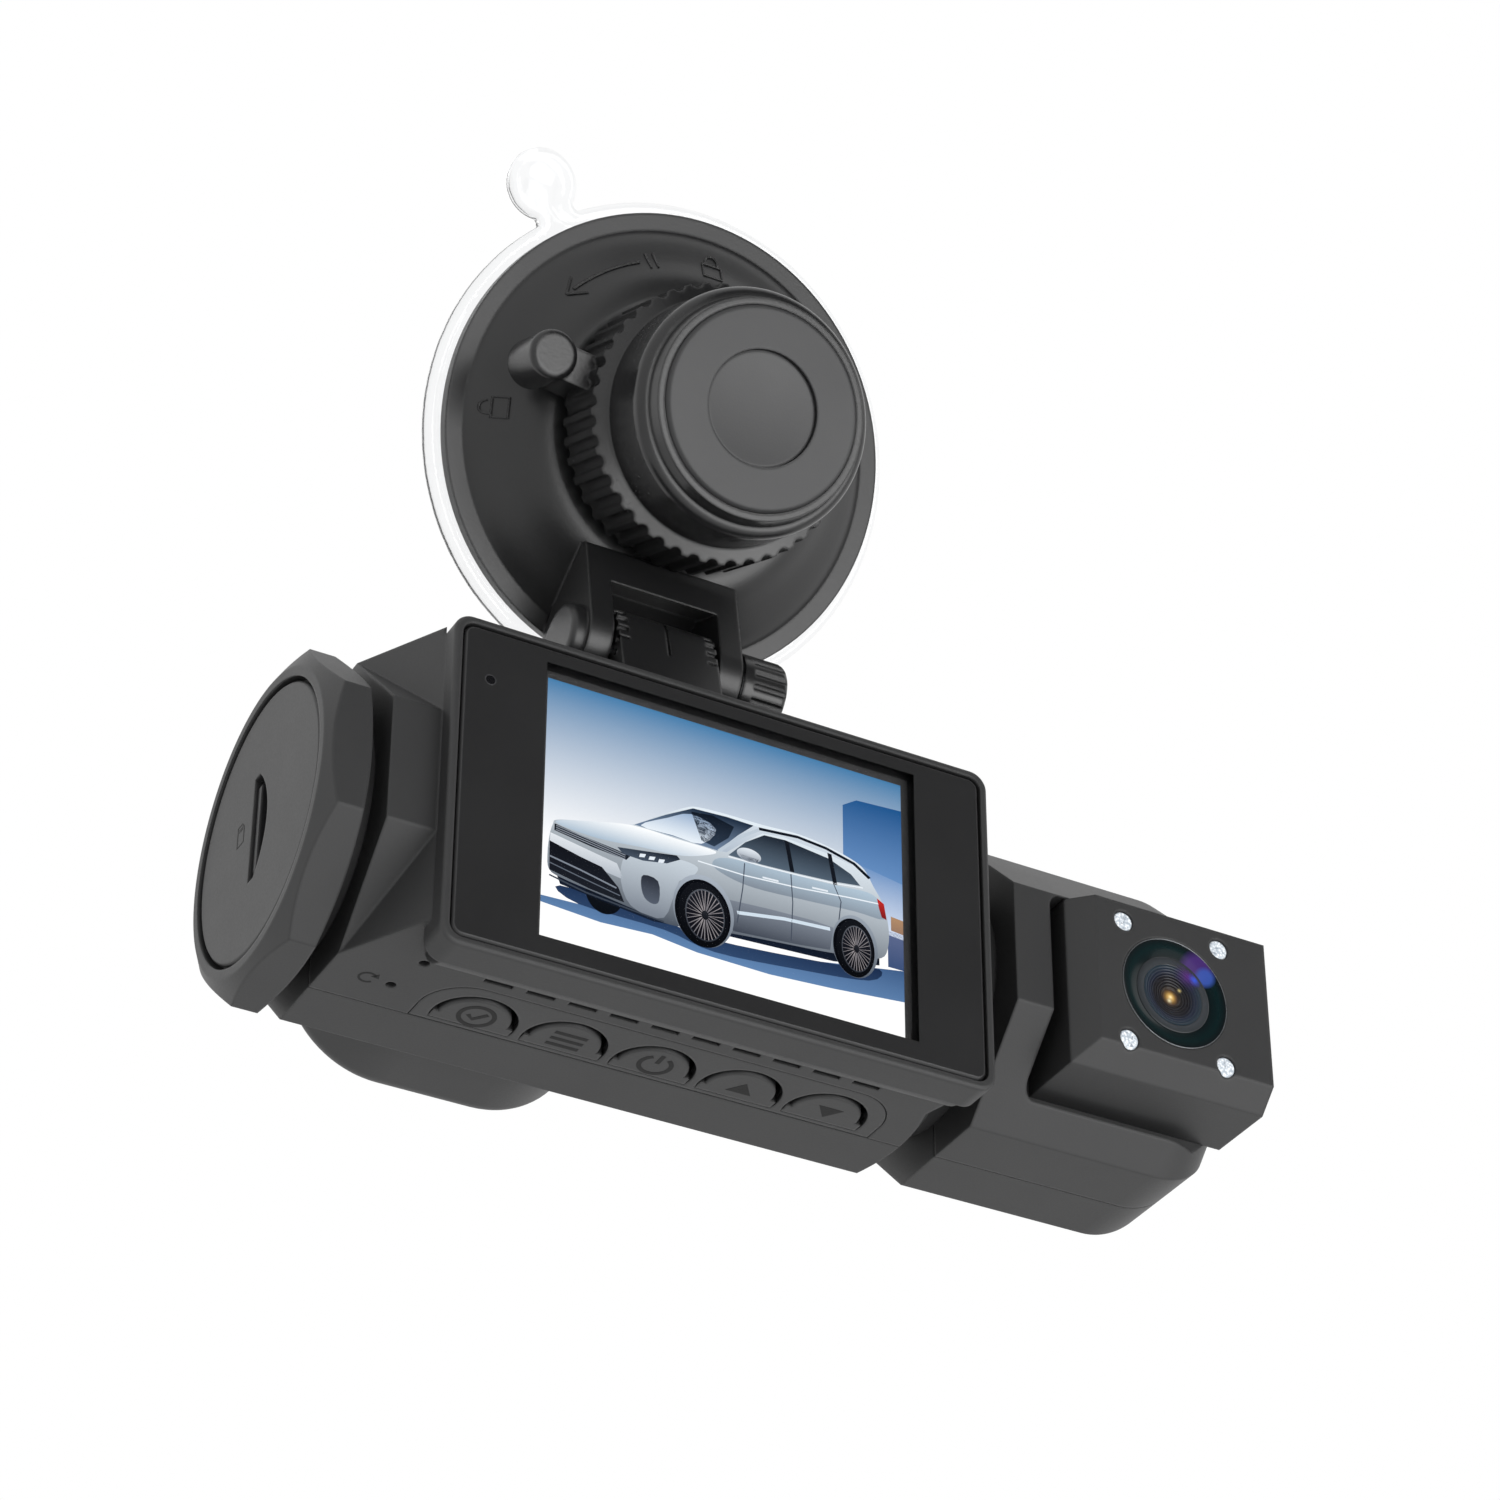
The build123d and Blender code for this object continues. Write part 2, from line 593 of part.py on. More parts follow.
# the neck behind the display spreads on the left to meet the flange
with BuildPart() as pod_form:
    with BuildSketch(level(-FACET)):
        outline(
            (-POD_HALF_LENGTH, POD_BACK_Y),
            (-POD_HALF_LENGTH, -FACET),
            (FLANGE_X, -VERTEX),
            (FLANGE_X, 0),
            (BODY_END_X - BODY_END_STEP, 0),
            (BODY_END_X - BODY_END_STEP, -VERTEX),
            (POD_HALF_LENGTH, POD_BACK_Y + COVE_REACH),
            (POD_HALF_LENGTH, POD_BACK_Y),
            (POD_HALF_LENGTH, -FACET),
        )
    extrude(amount=2 * FACET)
    with BuildSketch(facing(POD_BACK_Y)):
        with Locations((0, POD_CENTRE_Z)):
            RectangleRounded(2 * POD_HALF_LENGTH, POD_HEIGHT, POD_CORNER)
    extrude(amount=POD_LIP_DEPTH)
    fillet(pod_form.faces().sort_by(Axis.Y)[0].edges(), 0.4)
    with BuildSketch(across(-POD_HALF_LENGTH + POD_CORNER)):
        with BuildLine():
            Polyline(
                (POD_BACK_Y + COVE_REACH, -FACET + 0.5),
                (POD_BACK_Y - 0.5, -FACET + 0.5),
                (POD_BACK_Y - 0.5, POD_BOTTOM_Z + FREE),
                (POD_BACK_Y, POD_BOTTOM_Z + FREE),
            )
            RadiusArc((POD_BACK_Y, POD_BOTTOM_Z + FREE), (POD_BACK_Y + COVE_REACH, -FACET), -5.5)
            Line((POD_BACK_Y + COVE_REACH, -FACET), (POD_BACK_Y + COVE_REACH, -FACET + 0.5))
        make_face()
    extrude(amount=2 * (POD_HALF_LENGTH - POD_CORNER))

# inner space of the body, with the glass seat and the display's pocket
with BuildPart() as body_space:
    with BuildSketch(across(FLANGE_X + WALL)):
        octagon(INNER_FLATS)
    extrude(amount=BODY_WALL_X - FLANGE_X - WALL)
    with BuildSketch(facing(0)):
        Rectangle(2 * (POD_HALF_LENGTH - 1.8), INNER_FLATS)
    extrude(amount=-POD_BACK_Y + 0.2)
    with BuildSketch(facing(POD_BACK_Y)):
        with Locations(LCD_CENTRE):
            Rectangle(LCD_SIZE[0] + 2 * FREE, LCD_SIZE[1] + 2 * FREE)
    extrude(amount=GLASS_BACK_Y * -1 + POD_BACK_Y)
    with BuildSketch(facing(GLASS_BACK_Y)):
        with Locations((0, POD_CENTRE_Z)):
            RectangleRounded(
                2 * (POD_HALF_LENGTH - BEZEL),
                POD_HEIGHT - 2 * BEZEL,
                GLASS_CORNER + GLASS_GAP,
            )
    extrude(amount=GLASS_THICK + 1)
    # screw posts stay solid, from the back of the glass to the windscreen side
    with BuildSketch(facing(FACET)):
        with Locations(BODY_SCREWS):
            Circle(POST_R)
    extrude(amount=FACET - GLASS_BACK_Y, mode=Mode.SUBTRACT)
    # opening for the end cap's neck and for the cabin camera's swivel
    with BuildSketch(across(FLANGE_X)):
        Circle(CAP_NECK_R + RUNNING)
    extrude(amount=WALL)
    with BuildSketch(across(BODY_END_X)):
        Circle(NECK_R + RUNNING)
    extrude(amount=-WALL)

strip_width = BUTTON_XS[-1] - BUTTON_XS[0] + 2 * STRIP_MARGIN
with BuildSketch() as strip_shape:
    outline(
        (BUTTON_MID_X - strip_width / 2, FRONT_SIDE_Y),
        (BUTTON_MID_X - strip_width / 2, STRIP_TOP_Y),
        (BUTTON_MID_X + strip_width / 2, STRIP_TOP_Y),
        (BUTTON_MID_X + strip_width / 2, FRONT_SIDE_Y),
    )
    fillet(strip_shape.vertices().group_by(Axis.Y)[0], 5.2)
with BuildSketch() as button_hole:
    with Locations((0, BUTTON_Y)):
        Circle(BUTTON_SLOT_R)
    with Locations((0, BUTTON_HINGE_Y + 10)):
        Rectangle(30, 20, mode=Mode.SUBTRACT)
button_places = [(x, 0) for x in BUTTON_XS]
sound_first_x = BUTTON_MID_X - SOUND_SLOT_PITCH * (SOUND_SLOTS - 1) / 2
sound_places = [(sound_first_x + i * SOUND_SLOT_PITCH, SOUND_Y) for i in range(SOUND_SLOTS)]

with BuildPart() as front_shell:
    add(body_form.part)
    add(pod_form.part)
    add(body_space.part, mode=Mode.SUBTRACT)
    split(bisect_by=facing(FRONT_SIDE_Y), keep=Keep.TOP)
    with BuildSketch(facing(1)):
        with Locations(BODY_SCREWS):
            Circle(SCREW_R + RUNNING)
    extrude(amount=8.5, mode=Mode.SUBTRACT)
    # keypad strip seat, sound slots, microphone and reset holes in the bottom wall
    with BuildSketch(level(-FACET)):
        add(strip_shape.sketch)
    extrude(amount=STRIP_DEPTH, mode=Mode.SUBTRACT)
    with BuildSketch(level(-FACET)):
        with Locations(button_places):
            add(button_hole.sketch)
        with Locations(sound_places):
            Rectangle(*SOUND_SLOT_SIZE)
        with Locations((MIC_X, MIC_Y), (RESET_X, RESET_Y)):
            Circle(RESET_R + 0.1)
    extrude(amount=WALL + 0.1, mode=Mode.SUBTRACT)
    # clearance holes for the bracket's screws in the top wall
    with BuildSketch(level(FACET)):
        with Locations(BRACKET_SCREWS):
            Circle(SCREW_R + RUNNING)
    extrude(amount=-WALL - 0.1, mode=Mode.SUBTRACT)
save(front_shell.part, "front_shell")

USB_X, USB_Y = -22.0, 4.9
USB_SIZE = (8.94, 3.2, 7.2)
USB_TOP_Z = FACET - 0.3
STOP_R = (11.2, 12.6)
with BuildPart() as rear_shell:
    add(body_form.part)
    with BuildSketch(facing(0)):
        with Locations((BOSS_X, BOSS_Z)):
            SlotCenterToCenter(BOSS_SPACING, 2 * BOSS_R)
    extrude(amount=-BOSS_REACH_Y)
    fillet(rear_shell.faces().sort_by(Axis.Y)[-1].edges(), 2.4)
    add(body_space.part, mode=Mode.SUBTRACT)
    # stop rib for the cabin camera's swivel
    with BuildSketch(across(BODY_WALL_X)):
        Circle(STOP_R[1])
        Circle(STOP_R[0], mode=Mode.SUBTRACT)
        with Locations((-STOP_R[1] + 2.4, 0)):
            Rectangle(2 * STOP_R[1], 3 * STOP_R[1], mode=Mode.SUBTRACT)
    extrude(amount=-1.5)
    split(bisect_by=facing(REAR_SIDE_Y), keep=Keep.BOTTOM)
    with BuildSketch(facing(0)):
        with Locations(BODY_SCREWS):
            Circle(SCREW_R + RUNNING)
    extrude(amount=-FACET, mode=Mode.SUBTRACT)
    with BuildSketch(facing(SCREW_SEAT_Y)):
        with Locations(BODY_SCREWS):
            Circle(SCREW_HEAD_R + 0.2)
    extrude(amount=-FACET, mode=Mode.SUBTRACT)
    # lens bore and ring seat
    with BuildSketch(facing(0)):
        with Locations((BOSS_X, BOSS_Z)):
            Circle(FRONT_BARREL_R + FREE)
    extrude(amount=-BOSS_REACH_Y - 1, mode=Mode.SUBTRACT)
    with BuildSketch(facing(BOSS_REACH_Y - 1.2)):
        with Locations((BOSS_X, BOSS_Z)):
            Circle(FRONT_RING_R + RUNNING)
    extrude(amount=-3, mode=Mode.SUBTRACT)
    with BuildSketch(level(FACET)):
        with Locations((USB_X, USB_Y)):
            RectangleRounded(USB_SIZE[0] + 0.4, USB_SIZE[1] + 0.4, 1.6)
    extrude(amount=-WALL - 0.2, mode=Mode.SUBTRACT)
save(rear_shell.part, "rear_shell")

with BuildPart() as shell_screws:
    with BuildSketch(facing(SCREW_SEAT_Y)):
        with Locations(BODY_SCREWS):
            Circle(SCREW_HEAD_R)
    extrude(amount=-SCREW_HEAD)
    with BuildSketch(facing(SCREW_SEAT_Y)):
        with Locations(BODY_SCREWS):
            Circle(SCREW_R)
    extrude(amount=SCREW_SEAT_Y + 6.5)
    with BuildSketch(facing(SCREW_SEAT_Y + SCREW_HEAD)):
        with Locations(BODY_SCREWS):
            Rectangle(RECESS_ARM, RECESS_ARM_WIDTH)
            Rectangle(RECESS_ARM_WIDTH, RECESS_ARM)
    extrude(amount=RECESS_DEPTH, mode=Mode.SUBTRACT)
save(shell_screws.part, "shell_screws")

# display
with BuildPart() as display_glass:
    with BuildSketch(facing(GLASS_BACK_Y)):
        with Locations((0, POD_CENTRE_Z)):
            RectangleRounded(
                2 * (POD_HALF_LENGTH - BEZEL - GLASS_GAP),
                POD_HEIGHT - 2 * (BEZEL + GLASS_GAP),
                GLASS_CORNER,
            )
    extrude(amount=GLASS_THICK)
    chamfer(display_glass.faces().sort_by(Axis.Y)[0].edges(), 0.25)
save(display_glass.part, "display_glass")

with BuildPart() as lcd_panel:
    with BuildSketch(facing(GLASS_BACK_Y + 0.1 + LCD_THICK)):
        with Locations(LCD_CENTRE):
            Rectangle(*LCD_SIZE)
    extrude(amount=LCD_THICK)
save(lcd_panel.part, "lcd_panel")

# keypad strip and its five buttons
with BuildPart() as keypad_strip:
    with BuildSketch(level(-FACET)):
        add(strip_shape.sketch)
        offset(amount=-0.12, mode=Mode.REPLACE)
        with Locations(button_places):
            add(button_hole.sketch, mode=Mode.SUBTRACT)
    extrude(amount=STRIP_DEPTH - 0.02)
save(keypad_strip.part, "keypad_strip")

SWITCH_SIZE = (3.5, 3.5, 1.4)
SWITCH_Y = -3.9
STEM_TOP_Z = BUTTON_BOARD_Z - SWITCH_SIZE[2] - 0.4
for button_name, button_x in zip(BUTTON_NAMES, BUTTON_XS):
    with BuildPart() as button:
        with BuildSketch(level(-FACET)):
            with Locations((button_x, BUTTON_Y)):
                Circle(BUTTON_SLOT_R - BUTTON_SLOT)
            with Locations((button_x, BUTTON_Y + 5)):
                Rectangle(4 * BUTTON_SLOT_R, 10, mode=Mode.SUBTRACT)
            with Locations((button_x, (BUTTON_Y + BUTTON_HINGE_Y - 0.12) / 2)):
                Rectangle(2 * (BUTTON_SLOT_R - 0.2), BUTTON_HINGE_Y - BUTTON_Y - 0.12)
        extrude(amount=WALL - 0.2)
        fillet(button.faces().sort_by(Axis.Z)[0].edges().filter_by(GeomType.CIRCLE), 0.3)
        with BuildSketch(level(-FACET + WALL - 0.2)):
            with Locations((button_x, SWITCH_Y)):
                Circle(0.9)
        extrude(amount=STEM_TOP_Z + FACET - WALL + 0.2)
    save(button.part, f"button_{button_name}")

with BuildPart() as reset_button:
    with BuildSketch(level(-FACET + 0.8)):
        with Locations((RESET_X, RESET_Y)):
            Circle(RESET_R)
    extrude(amount=STEM_TOP_Z + FACET - 0.8)
    with BuildSketch(level(-INNER_FACET + 0.1)):
        with Locations((RESET_X, RESET_Y)):
            Circle(RESET_R + 0.1 + 0.25)
    extrude(amount=0.4)
save(reset_button.part, "reset_button")

BUTTON_BOARD_THICK = 1.0
with BuildPart() as button_board:
    with BuildSketch(level(BUTTON_BOARD_Z)):
        with Locations(((-29.6 + 23.2) / 2, -4.5)):
            Rectangle(23.2 + 29.6, 8.2)
    extrude(amount=BUTTON_BOARD_THICK)
save(button_board.part, "button_board")

with BuildPart() as button_switches:
    with BuildSketch(level(BUTTON_BOARD_Z)):
        with Locations([(x, SWITCH_Y) for x in BUTTON_XS]):
            Rectangle(SWITCH_SIZE[0], SWITCH_SIZE[1])
        with Locations((RESET_X + 0.9, RESET_Y)):
            Rectangle(2.6, 2.6)
    extrude(amount=-SWITCH_SIZE[2])
save(button_switches.part, "button_switches")

with BuildPart() as microphone:
    with BuildSketch(level(-INNER_FACET + 0.15)):
        with Locations((MIC_X, MIC_Y)):
            Circle(1.0)
    extrude(amount=1.2)
save(microphone.part, "microphone")

with BuildPart() as speaker:
    with BuildSketch(facing(POD_BACK_Y + 4.2)):
        with Locations((12, -10.2)):
            RectangleRounded(20, 9.6, 3.0)
    extrude(amount=3.6)
save(speaker.part, "speaker")

# boards behind the display
PCB_X = (-28.0, 23.2)
TONGUE_X = CAP_END_X + CAP_DISC_THICK + 1.8
with BuildPart() as main_board:
    with BuildSketch(facing(PCB_BACK_Y)):
        with Locations(((PCB_X[0] + PCB_X[1]) / 2, 0)):
            Rectangle(PCB_X[1] - PCB_X[0], 26.8)
        with Locations(((TONGUE_X + PCB_X[0]) / 2, 0)):
            Rectangle(PCB_X[0] - TONGUE_X, 14.0)
    extrude(amount=PCB_THICK)
save(main_board.part, "main_board")

with BuildPart() as board_chips:
    with BuildSketch(facing(PCB_Y)):
        with Locations((-2, 4)):
            Rectangle(12, 12)
        with Locations((14, 6)):
            Rectangle(9, 11)
        with Locations((-16, 6), (14, -7)):
            Rectangle(5, 5)
    extrude(amount=1.2)
save(board_chips.part, "board_chips")

with BuildPart() as backup_battery:
    with BuildSketch(facing(PCB_BACK_Y + 1.0 + 5.0)):
        with Locations((12.2, 0)):
            RectangleRounded(21, 16, 1.5)
    extrude(amount=5.0)
save(backup_battery.part, "backup_battery")

with BuildPart() as usb_socket:
    with BuildSketch(level(USB_TOP_Z)):
        with Locations((USB_X, USB_Y)):
            RectangleRounded(USB_SIZE[0], USB_SIZE[1], 1.5)
    extrude(amount=-USB_SIZE[2])
    with BuildSketch(level(USB_TOP_Z)):
        with Locations((USB_X, USB_Y)):
            RectangleRounded(USB_SIZE[0] - 0.6, USB_SIZE[1] - 0.6, 1.25)
            Rectangle(6.7, 0.7, mode=Mode.SUBTRACT)
    extrude(amount=-USB_SIZE[2] + 1.2, mode=Mode.SUBTRACT)
save(usb_socket.part, "usb_socket")

# card socket and card
CARD_REAR_X = CAP_END_X + 0.5
SOCKET_X = (TONGUE_X, CARD_REAR_X + CARD_SIZE[0] + 1.2)
with BuildPart() as card_socket:
    with BuildSketch(across(SOCKET_X[0])):
        with Locations((PCB_Y - 0.9, 0)):
            Rectangle(1.8, CARD_SIZE[2] + 2.4)
            Rectangle(CARD_SIZE[1] + 0.2, CARD_SIZE[2] + 0.3, mode=Mode.SUBTRACT)
    extrude(amount=SOCKET_X[1] - SOCKET_X[0] - 0.6)
    with BuildSketch(across(SOCKET_X[1] - 0.6)):
        with Locations((PCB_Y - 0.9, 0)):
            Rectangle(1.8, CARD_SIZE[2] + 2.4)
    extrude(amount=0.6)
save(card_socket.part, "card_socket")

with BuildPart() as memory_card:
    with BuildSketch(facing(CARD_Y + CARD_SIZE[1] / 2)):
        with Locations((CARD_REAR_X + CARD_SIZE[0] / 2, 0)):
            RectangleRounded(CARD_SIZE[0], CARD_SIZE[2], 0.7)
    extrude(amount=CARD_SIZE[1])
save(memory_card.part, "memory_card")

# end cap: an octagonal nut form on a round neck
CAP_LIP_R = CAP_NECK_R + 1.0
with BuildPart() as end_cap:
    with BuildSketch(across(CAP_END_X)):
        octagon(BODY_FLATS)
    extrude(amount=CAP_LENGTH + CAP_CHAMFER)
    with BuildSketch(radial_plane()):
        outline(
            (CAP_END_X, 0),
            (CAP_END_X, CORNER_R - 2.4),
            (CAP_END_X + CAP_CHAMFER, CORNER_R),
            (CAP_REAR_X, CORNER_R),
            (CAP_REAR_X + CAP_CHAMFER, CAP_NECK_R + 0.6),
            (CAP_REAR_X + CAP_CHAMFER, 0),
        )
    revolve(axis=body_axis, mode=Mode.INTERSECT)
    with BuildSketch(across(CAP_REAR_X + CAP_CHAMFER)):
        Circle(CAP_NECK_R)
    extrude(amount=CAP_GAP - CAP_CHAMFER + WALL + 0.1)
    with BuildSketch(across(FLANGE_X + WALL + 0.1)):
        Circle(CAP_LIP_R)
    extrude(amount=0.7)
    with BuildSketch(across(CAP_END_X)):
        Circle(CAP_BORE_R)
    extrude(amount=CAP_LENGTH + CAP_GAP + WALL + 1, mode=Mode.SUBTRACT)
    with BuildSketch(across(CAP_END_X)):
        Circle(CAP_DISC_R + 0.45)
    extrude(amount=CAP_DISC_THICK + 0.2, mode=Mode.SUBTRACT)
save(end_cap.part, "end_cap")

with BuildPart() as end_disc:
    with BuildSketch(across(CAP_END_X + 0.2)):
        Circle(CAP_DISC_R)
    extrude(amount=CAP_DISC_THICK)
    chamfer(end_disc.faces().sort_by(Axis.X)[0].edges(), 0.25)
    with BuildSketch(across(CAP_END_X)):
        with BuildLine():
            slot_half = CARD_SLOT_LENGTH / 2
            ThreePointArc(
                (CARD_Y - 0.5, slot_half), (CARD_Y - 0.5 - CARD_SLOT_BOW, 0), (CARD_Y - 0.5, -slot_half)
            )
            Line((CARD_Y - 0.5, -slot_half), (CARD_Y + CARD_SLOT_WIDTH / 2, -slot_half))
            Line((CARD_Y + CARD_SLOT_WIDTH / 2, -slot_half), (CARD_Y + CARD_SLOT_WIDTH / 2, slot_half))
            Line((CARD_Y + CARD_SLOT_WIDTH / 2, slot_half), (CARD_Y - 0.5, slot_half))
        make_face()
    extrude(amount=CAP_DISC_THICK + 1, mode=Mode.SUBTRACT)
save(end_disc.part, "end_disc")

# ================================================================ front lens
BARREL_BACK_Y = PCB_BACK_Y + 1.8
with BuildPart() as front_sensor:
    with BuildSketch(facing(BARREL_BACK_Y)):
        with Locations((BOSS_X, BOSS_Z)):
            Rectangle(9.0, 9.0)
    extrude(amount=BARREL_BACK_Y - PCB_BACK_Y)
save(front_sensor.part, "front_sensor")

with BuildPart() as front_barrel:
    with BuildSketch(facing(BARREL_BACK_Y)):
        with Locations((BOSS_X, BOSS_Z)):
            Circle(FRONT_BARREL_R)
    extrude(amount=-(BOSS_REACH_Y - 1.4 - BARREL_BACK_Y))
    with BuildSketch(facing(BOSS_REACH_Y - 1.4)):
        with Locations((BOSS_X, BOSS_Z)):
            Circle(FRONT_BARREL_R - 0.9)
    extrude(amount=2.2, taper=20, mode=Mode.SUBTRACT)
save(front_barrel.part, "front_barrel")

FRONT_GLASS_R = 4.5
FRONT_DOME_R = 6.0
with BuildPart() as front_lens:
    with BuildSketch(facing(BOSS_REACH_Y - 3.4)):
        with Locations((BOSS_X, BOSS_Z)):
            Circle(FRONT_GLASS_R)
    extrude(amount=-2.8)
    with Locations((BOSS_X, AXIS_Y + BOSS_REACH_Y - 0.6 - FRONT_DOME_R, AXIS_Z + BOSS_Z)):
        Sphere(FRONT_DOME_R, mode=Mode.INTERSECT)
save(front_lens.part, "front_lens")

with BuildPart() as front_ring:
    with BuildSketch(facing(BOSS_REACH_Y - 1.2)):
        with Locations((BOSS_X, BOSS_Z)):
            Circle(FRONT_RING_R)
            Circle(FRONT_BARREL_R - 0.9, mode=Mode.SUBTRACT)
    extrude(amount=-1.4)
    chamfer(front_ring.faces().sort_by(Axis.Y)[-1].edges(), 0.4)
save(front_ring.part, "front_ring")

# ================================================================ cabin camera
with BuildPart() as swivel_neck:
    with BuildSketch(radial_plane()):
        outline(
            (BODY_WALL_X - 2.0, NECK_BORE_R),
            (BODY_WALL_X - 2.0, NECK_R),
            (BODY_END_X + COLLAR_GAP, NECK_R),
            (BODY_END_X + COLLAR_GAP, COLLAR_R),
            (CABIN_X, COLLAR_R),
            (CABIN_X, NECK_R + 1),
            (CABIN_X + WALL + 1.0, NECK_R + 1),
            (CABIN_X + WALL + 1.0, NECK_BORE_R),
        )
    revolve(axis=body_axis)
save(swivel_neck.part, "swivel_neck")

with BuildPart() as swivel_ring:
    with BuildSketch(across(BODY_WALL_X - 0.3)):
        Circle(NECK_R + 2.0)
        with Locations((-NECK_R - 2.2, 0)):
            Rectangle(2.4, 3.6)
        Circle(NECK_R, mode=Mode.SUBTRACT)
    extrude(amount=-1.5)
save(swivel_ring.part, "swivel_ring")

with BuildPart() as cabin_form:
    with BuildSketch(across(CABIN_X)):
        octagon(BODY_FLATS)
    extrude(amount=CABIN_END_X - CABIN_X)
    fillet(cabin_form.faces().sort_by(Axis.X)[-1].edges(), CABIN_END_ROUND)
    # recess in the driver's side for the lens block
    with BuildSketch(facing(RECESS_FLOOR_Y)):
        with Locations(((RECESS_X + CABIN_END_X) / 2 + 5, (RECESS_LOW_Z + VERTEX) / 2)):
            RectangleRounded(CABIN_END_X - RECESS_X + 10, VERTEX - RECESS_LOW_Z, RECESS_CORNER)
    extrude(amount=FACET, mode=Mode.SUBTRACT)

with BuildPart() as cabin_space:
    with BuildSketch(across(CABIN_X + WALL)):
        octagon(INNER_FLATS)
    extrude(amount=CABIN_END_X - CABIN_X - 2 * WALL)
    fillet(cabin_space.faces().sort_by(Axis.X)[-1].edges(), CABIN_END_ROUND - WALL)
    with BuildSketch(facing(RECESS_FLOOR_Y + WALL)):
        with Locations(((RECESS_X - WALL + CABIN_END_X) / 2 + 5, 0)):
            Rectangle(CABIN_END_X - RECESS_X + WALL + 10, 2 * FACET)
    extrude(amount=FACET, mode=Mode.SUBTRACT)
    with BuildSketch(facing(FACET)):
        with Locations(CABIN_SCREWS):
            Circle(POST_R)
    extrude(amount=2 * FACET, mode=Mode.SUBTRACT)
    with BuildSketch(across(CABIN_X)):
        Circle(NECK_R + 1 + RUNNING)
    extrude(amount=WALL)

with BuildPart() as cabin_front_shell:
    add(cabin_form.part)
    add(cabin_space.part, mode=Mode.SUBTRACT)
    split(bisect_by=facing(FRONT_SIDE_Y), keep=Keep.TOP)
    with BuildSketch(facing(1)):
        with Locations(CABIN_SCREWS):
            Circle(SCREW_R + RUNNING)
    extrude(amount=6.5, mode=Mode.SUBTRACT)
    with BuildSketch(facing(0)):
        with Locations((LENS_X, LENS_Z)):
            Circle(CABIN_BARREL_R + FREE)
    extrude(amount=FACET, mode=Mode.SUBTRACT)
save(cabin_front_shell.part, "cabin_front_shell")

with BuildPart() as cabin_rear_shell:
    add(cabin_form.part)
    add(cabin_space.part, mode=Mode.SUBTRACT)
    split(bisect_by=facing(REAR_SIDE_Y), keep=Keep.BOTTOM)
    with BuildSketch(facing(0)):
        with Locations(CABIN_SCREWS):
            Circle(SCREW_R + RUNNING)
    extrude(amount=-FACET, mode=Mode.SUBTRACT)
    with BuildSketch(facing(CABIN_SEAT_Y)):
        with Locations(CABIN_SCREWS):
            Circle(SCREW_HEAD_R + 0.2)
    extrude(amount=-FACET, mode=Mode.SUBTRACT)
save(cabin_rear_shell.part, "cabin_rear_shell")

with BuildPart() as cabin_screws:
    with BuildSketch(facing(CABIN_SEAT_Y)):
        with Locations(CABIN_SCREWS):
            Circle(SCREW_HEAD_R)
    extrude(amount=-SCREW_HEAD)
    with BuildSketch(facing(CABIN_SEAT_Y)):
        with Locations(CABIN_SCREWS):
            Circle(SCREW_R)
    extrude(amount=CABIN_SEAT_Y + 4.5)
    with BuildSketch(facing(CABIN_SEAT_Y + SCREW_HEAD)):
        with Locations(CABIN_SCREWS):
            Rectangle(RECESS_ARM, RECESS_ARM_WIDTH)
            Rectangle(RECESS_ARM_WIDTH, RECESS_ARM)
    extrude(amount=RECESS_DEPTH, mode=Mode.SUBTRACT)
save(cabin_screws.part, "cabin_screws")

# lens block with four lamp holes
BLOCK_MID = ((BLOCK_X[0] + BLOCK_X[1]) / 2, (BLOCK_Z[0] + BLOCK_Z[1]) / 2)
BLOCK_SIZE = (BLOCK_X[1] - BLOCK_X[0], BLOCK_Z[1] - BLOCK_Z[0])
led_places = [
    (LENS_X + i * LED_SPACING[0] / 2, LENS_Z + j * LED_SPACING[1] / 2) for i in (-1, 1) for j in (-1, 1)
]
with BuildPart() as cabin_block:
    with BuildSketch(facing(RECESS_FLOOR_Y)):
        with Locations(BLOCK_MID):
            Rectangle(*BLOCK_SIZE)
    extrude(amount=RECESS_FLOOR_Y - BLOCK_FACE_Y)
    face_edges = cabin_block.faces().sort_by(Axis.Y)[0].edges()
    chamfer(face_edges.sort_by(Axis.Z)[0], BLOCK_CHAMFER)
    face_edges = cabin_block.faces().sort_by(Axis.Y)[0].edges()
    chamfer(face_edges.sort_by(Axis.X)[0], BLOCK_CHAMFER)
    with BuildSketch(facing(RECESS_FLOOR_Y)):
        with Locations(BLOCK_MID):
            Rectangle(BLOCK_SIZE[0] - 2 * BLOCK_WALL - 1.6, BLOCK_SIZE[1] - 2 * BLOCK_WALL - 1.6)
    extrude(amount=RECESS_FLOOR_Y - BLOCK_FACE_Y - BLOCK_WALL, mode=Mode.SUBTRACT)
    with BuildSketch(facing(RECESS_FLOOR_Y)):
        with Locations((LENS_X, LENS_Z)):
            Circle(CABIN_RING_R + RUNNING)
        with Locations(led_places):
            Circle(LED_R + RUNNING)
    extrude(amount=RECESS_FLOOR_Y - BLOCK_FACE_Y + 1, mode=Mode.SUBTRACT)
save(cabin_block.part, "cabin_block")

IR_BOARD_Y = BLOCK_FACE_Y + BLOCK_WALL + 1.4
with BuildPart() as ir_board:
    with BuildSketch(facing(IR_BOARD_Y + 0.8)):
        with Locations(BLOCK_MID):
            Rectangle(BLOCK_SIZE[0] - 2 * BLOCK_WALL - 2.2, BLOCK_SIZE[1] - 2 * BLOCK_WALL - 2.2)
        with Locations((LENS_X, LENS_Z)):
            Circle(CABIN_BARREL_R + FREE, mode=Mode.SUBTRACT)
    extrude(amount=0.8)
save(ir_board.part, "ir_board")

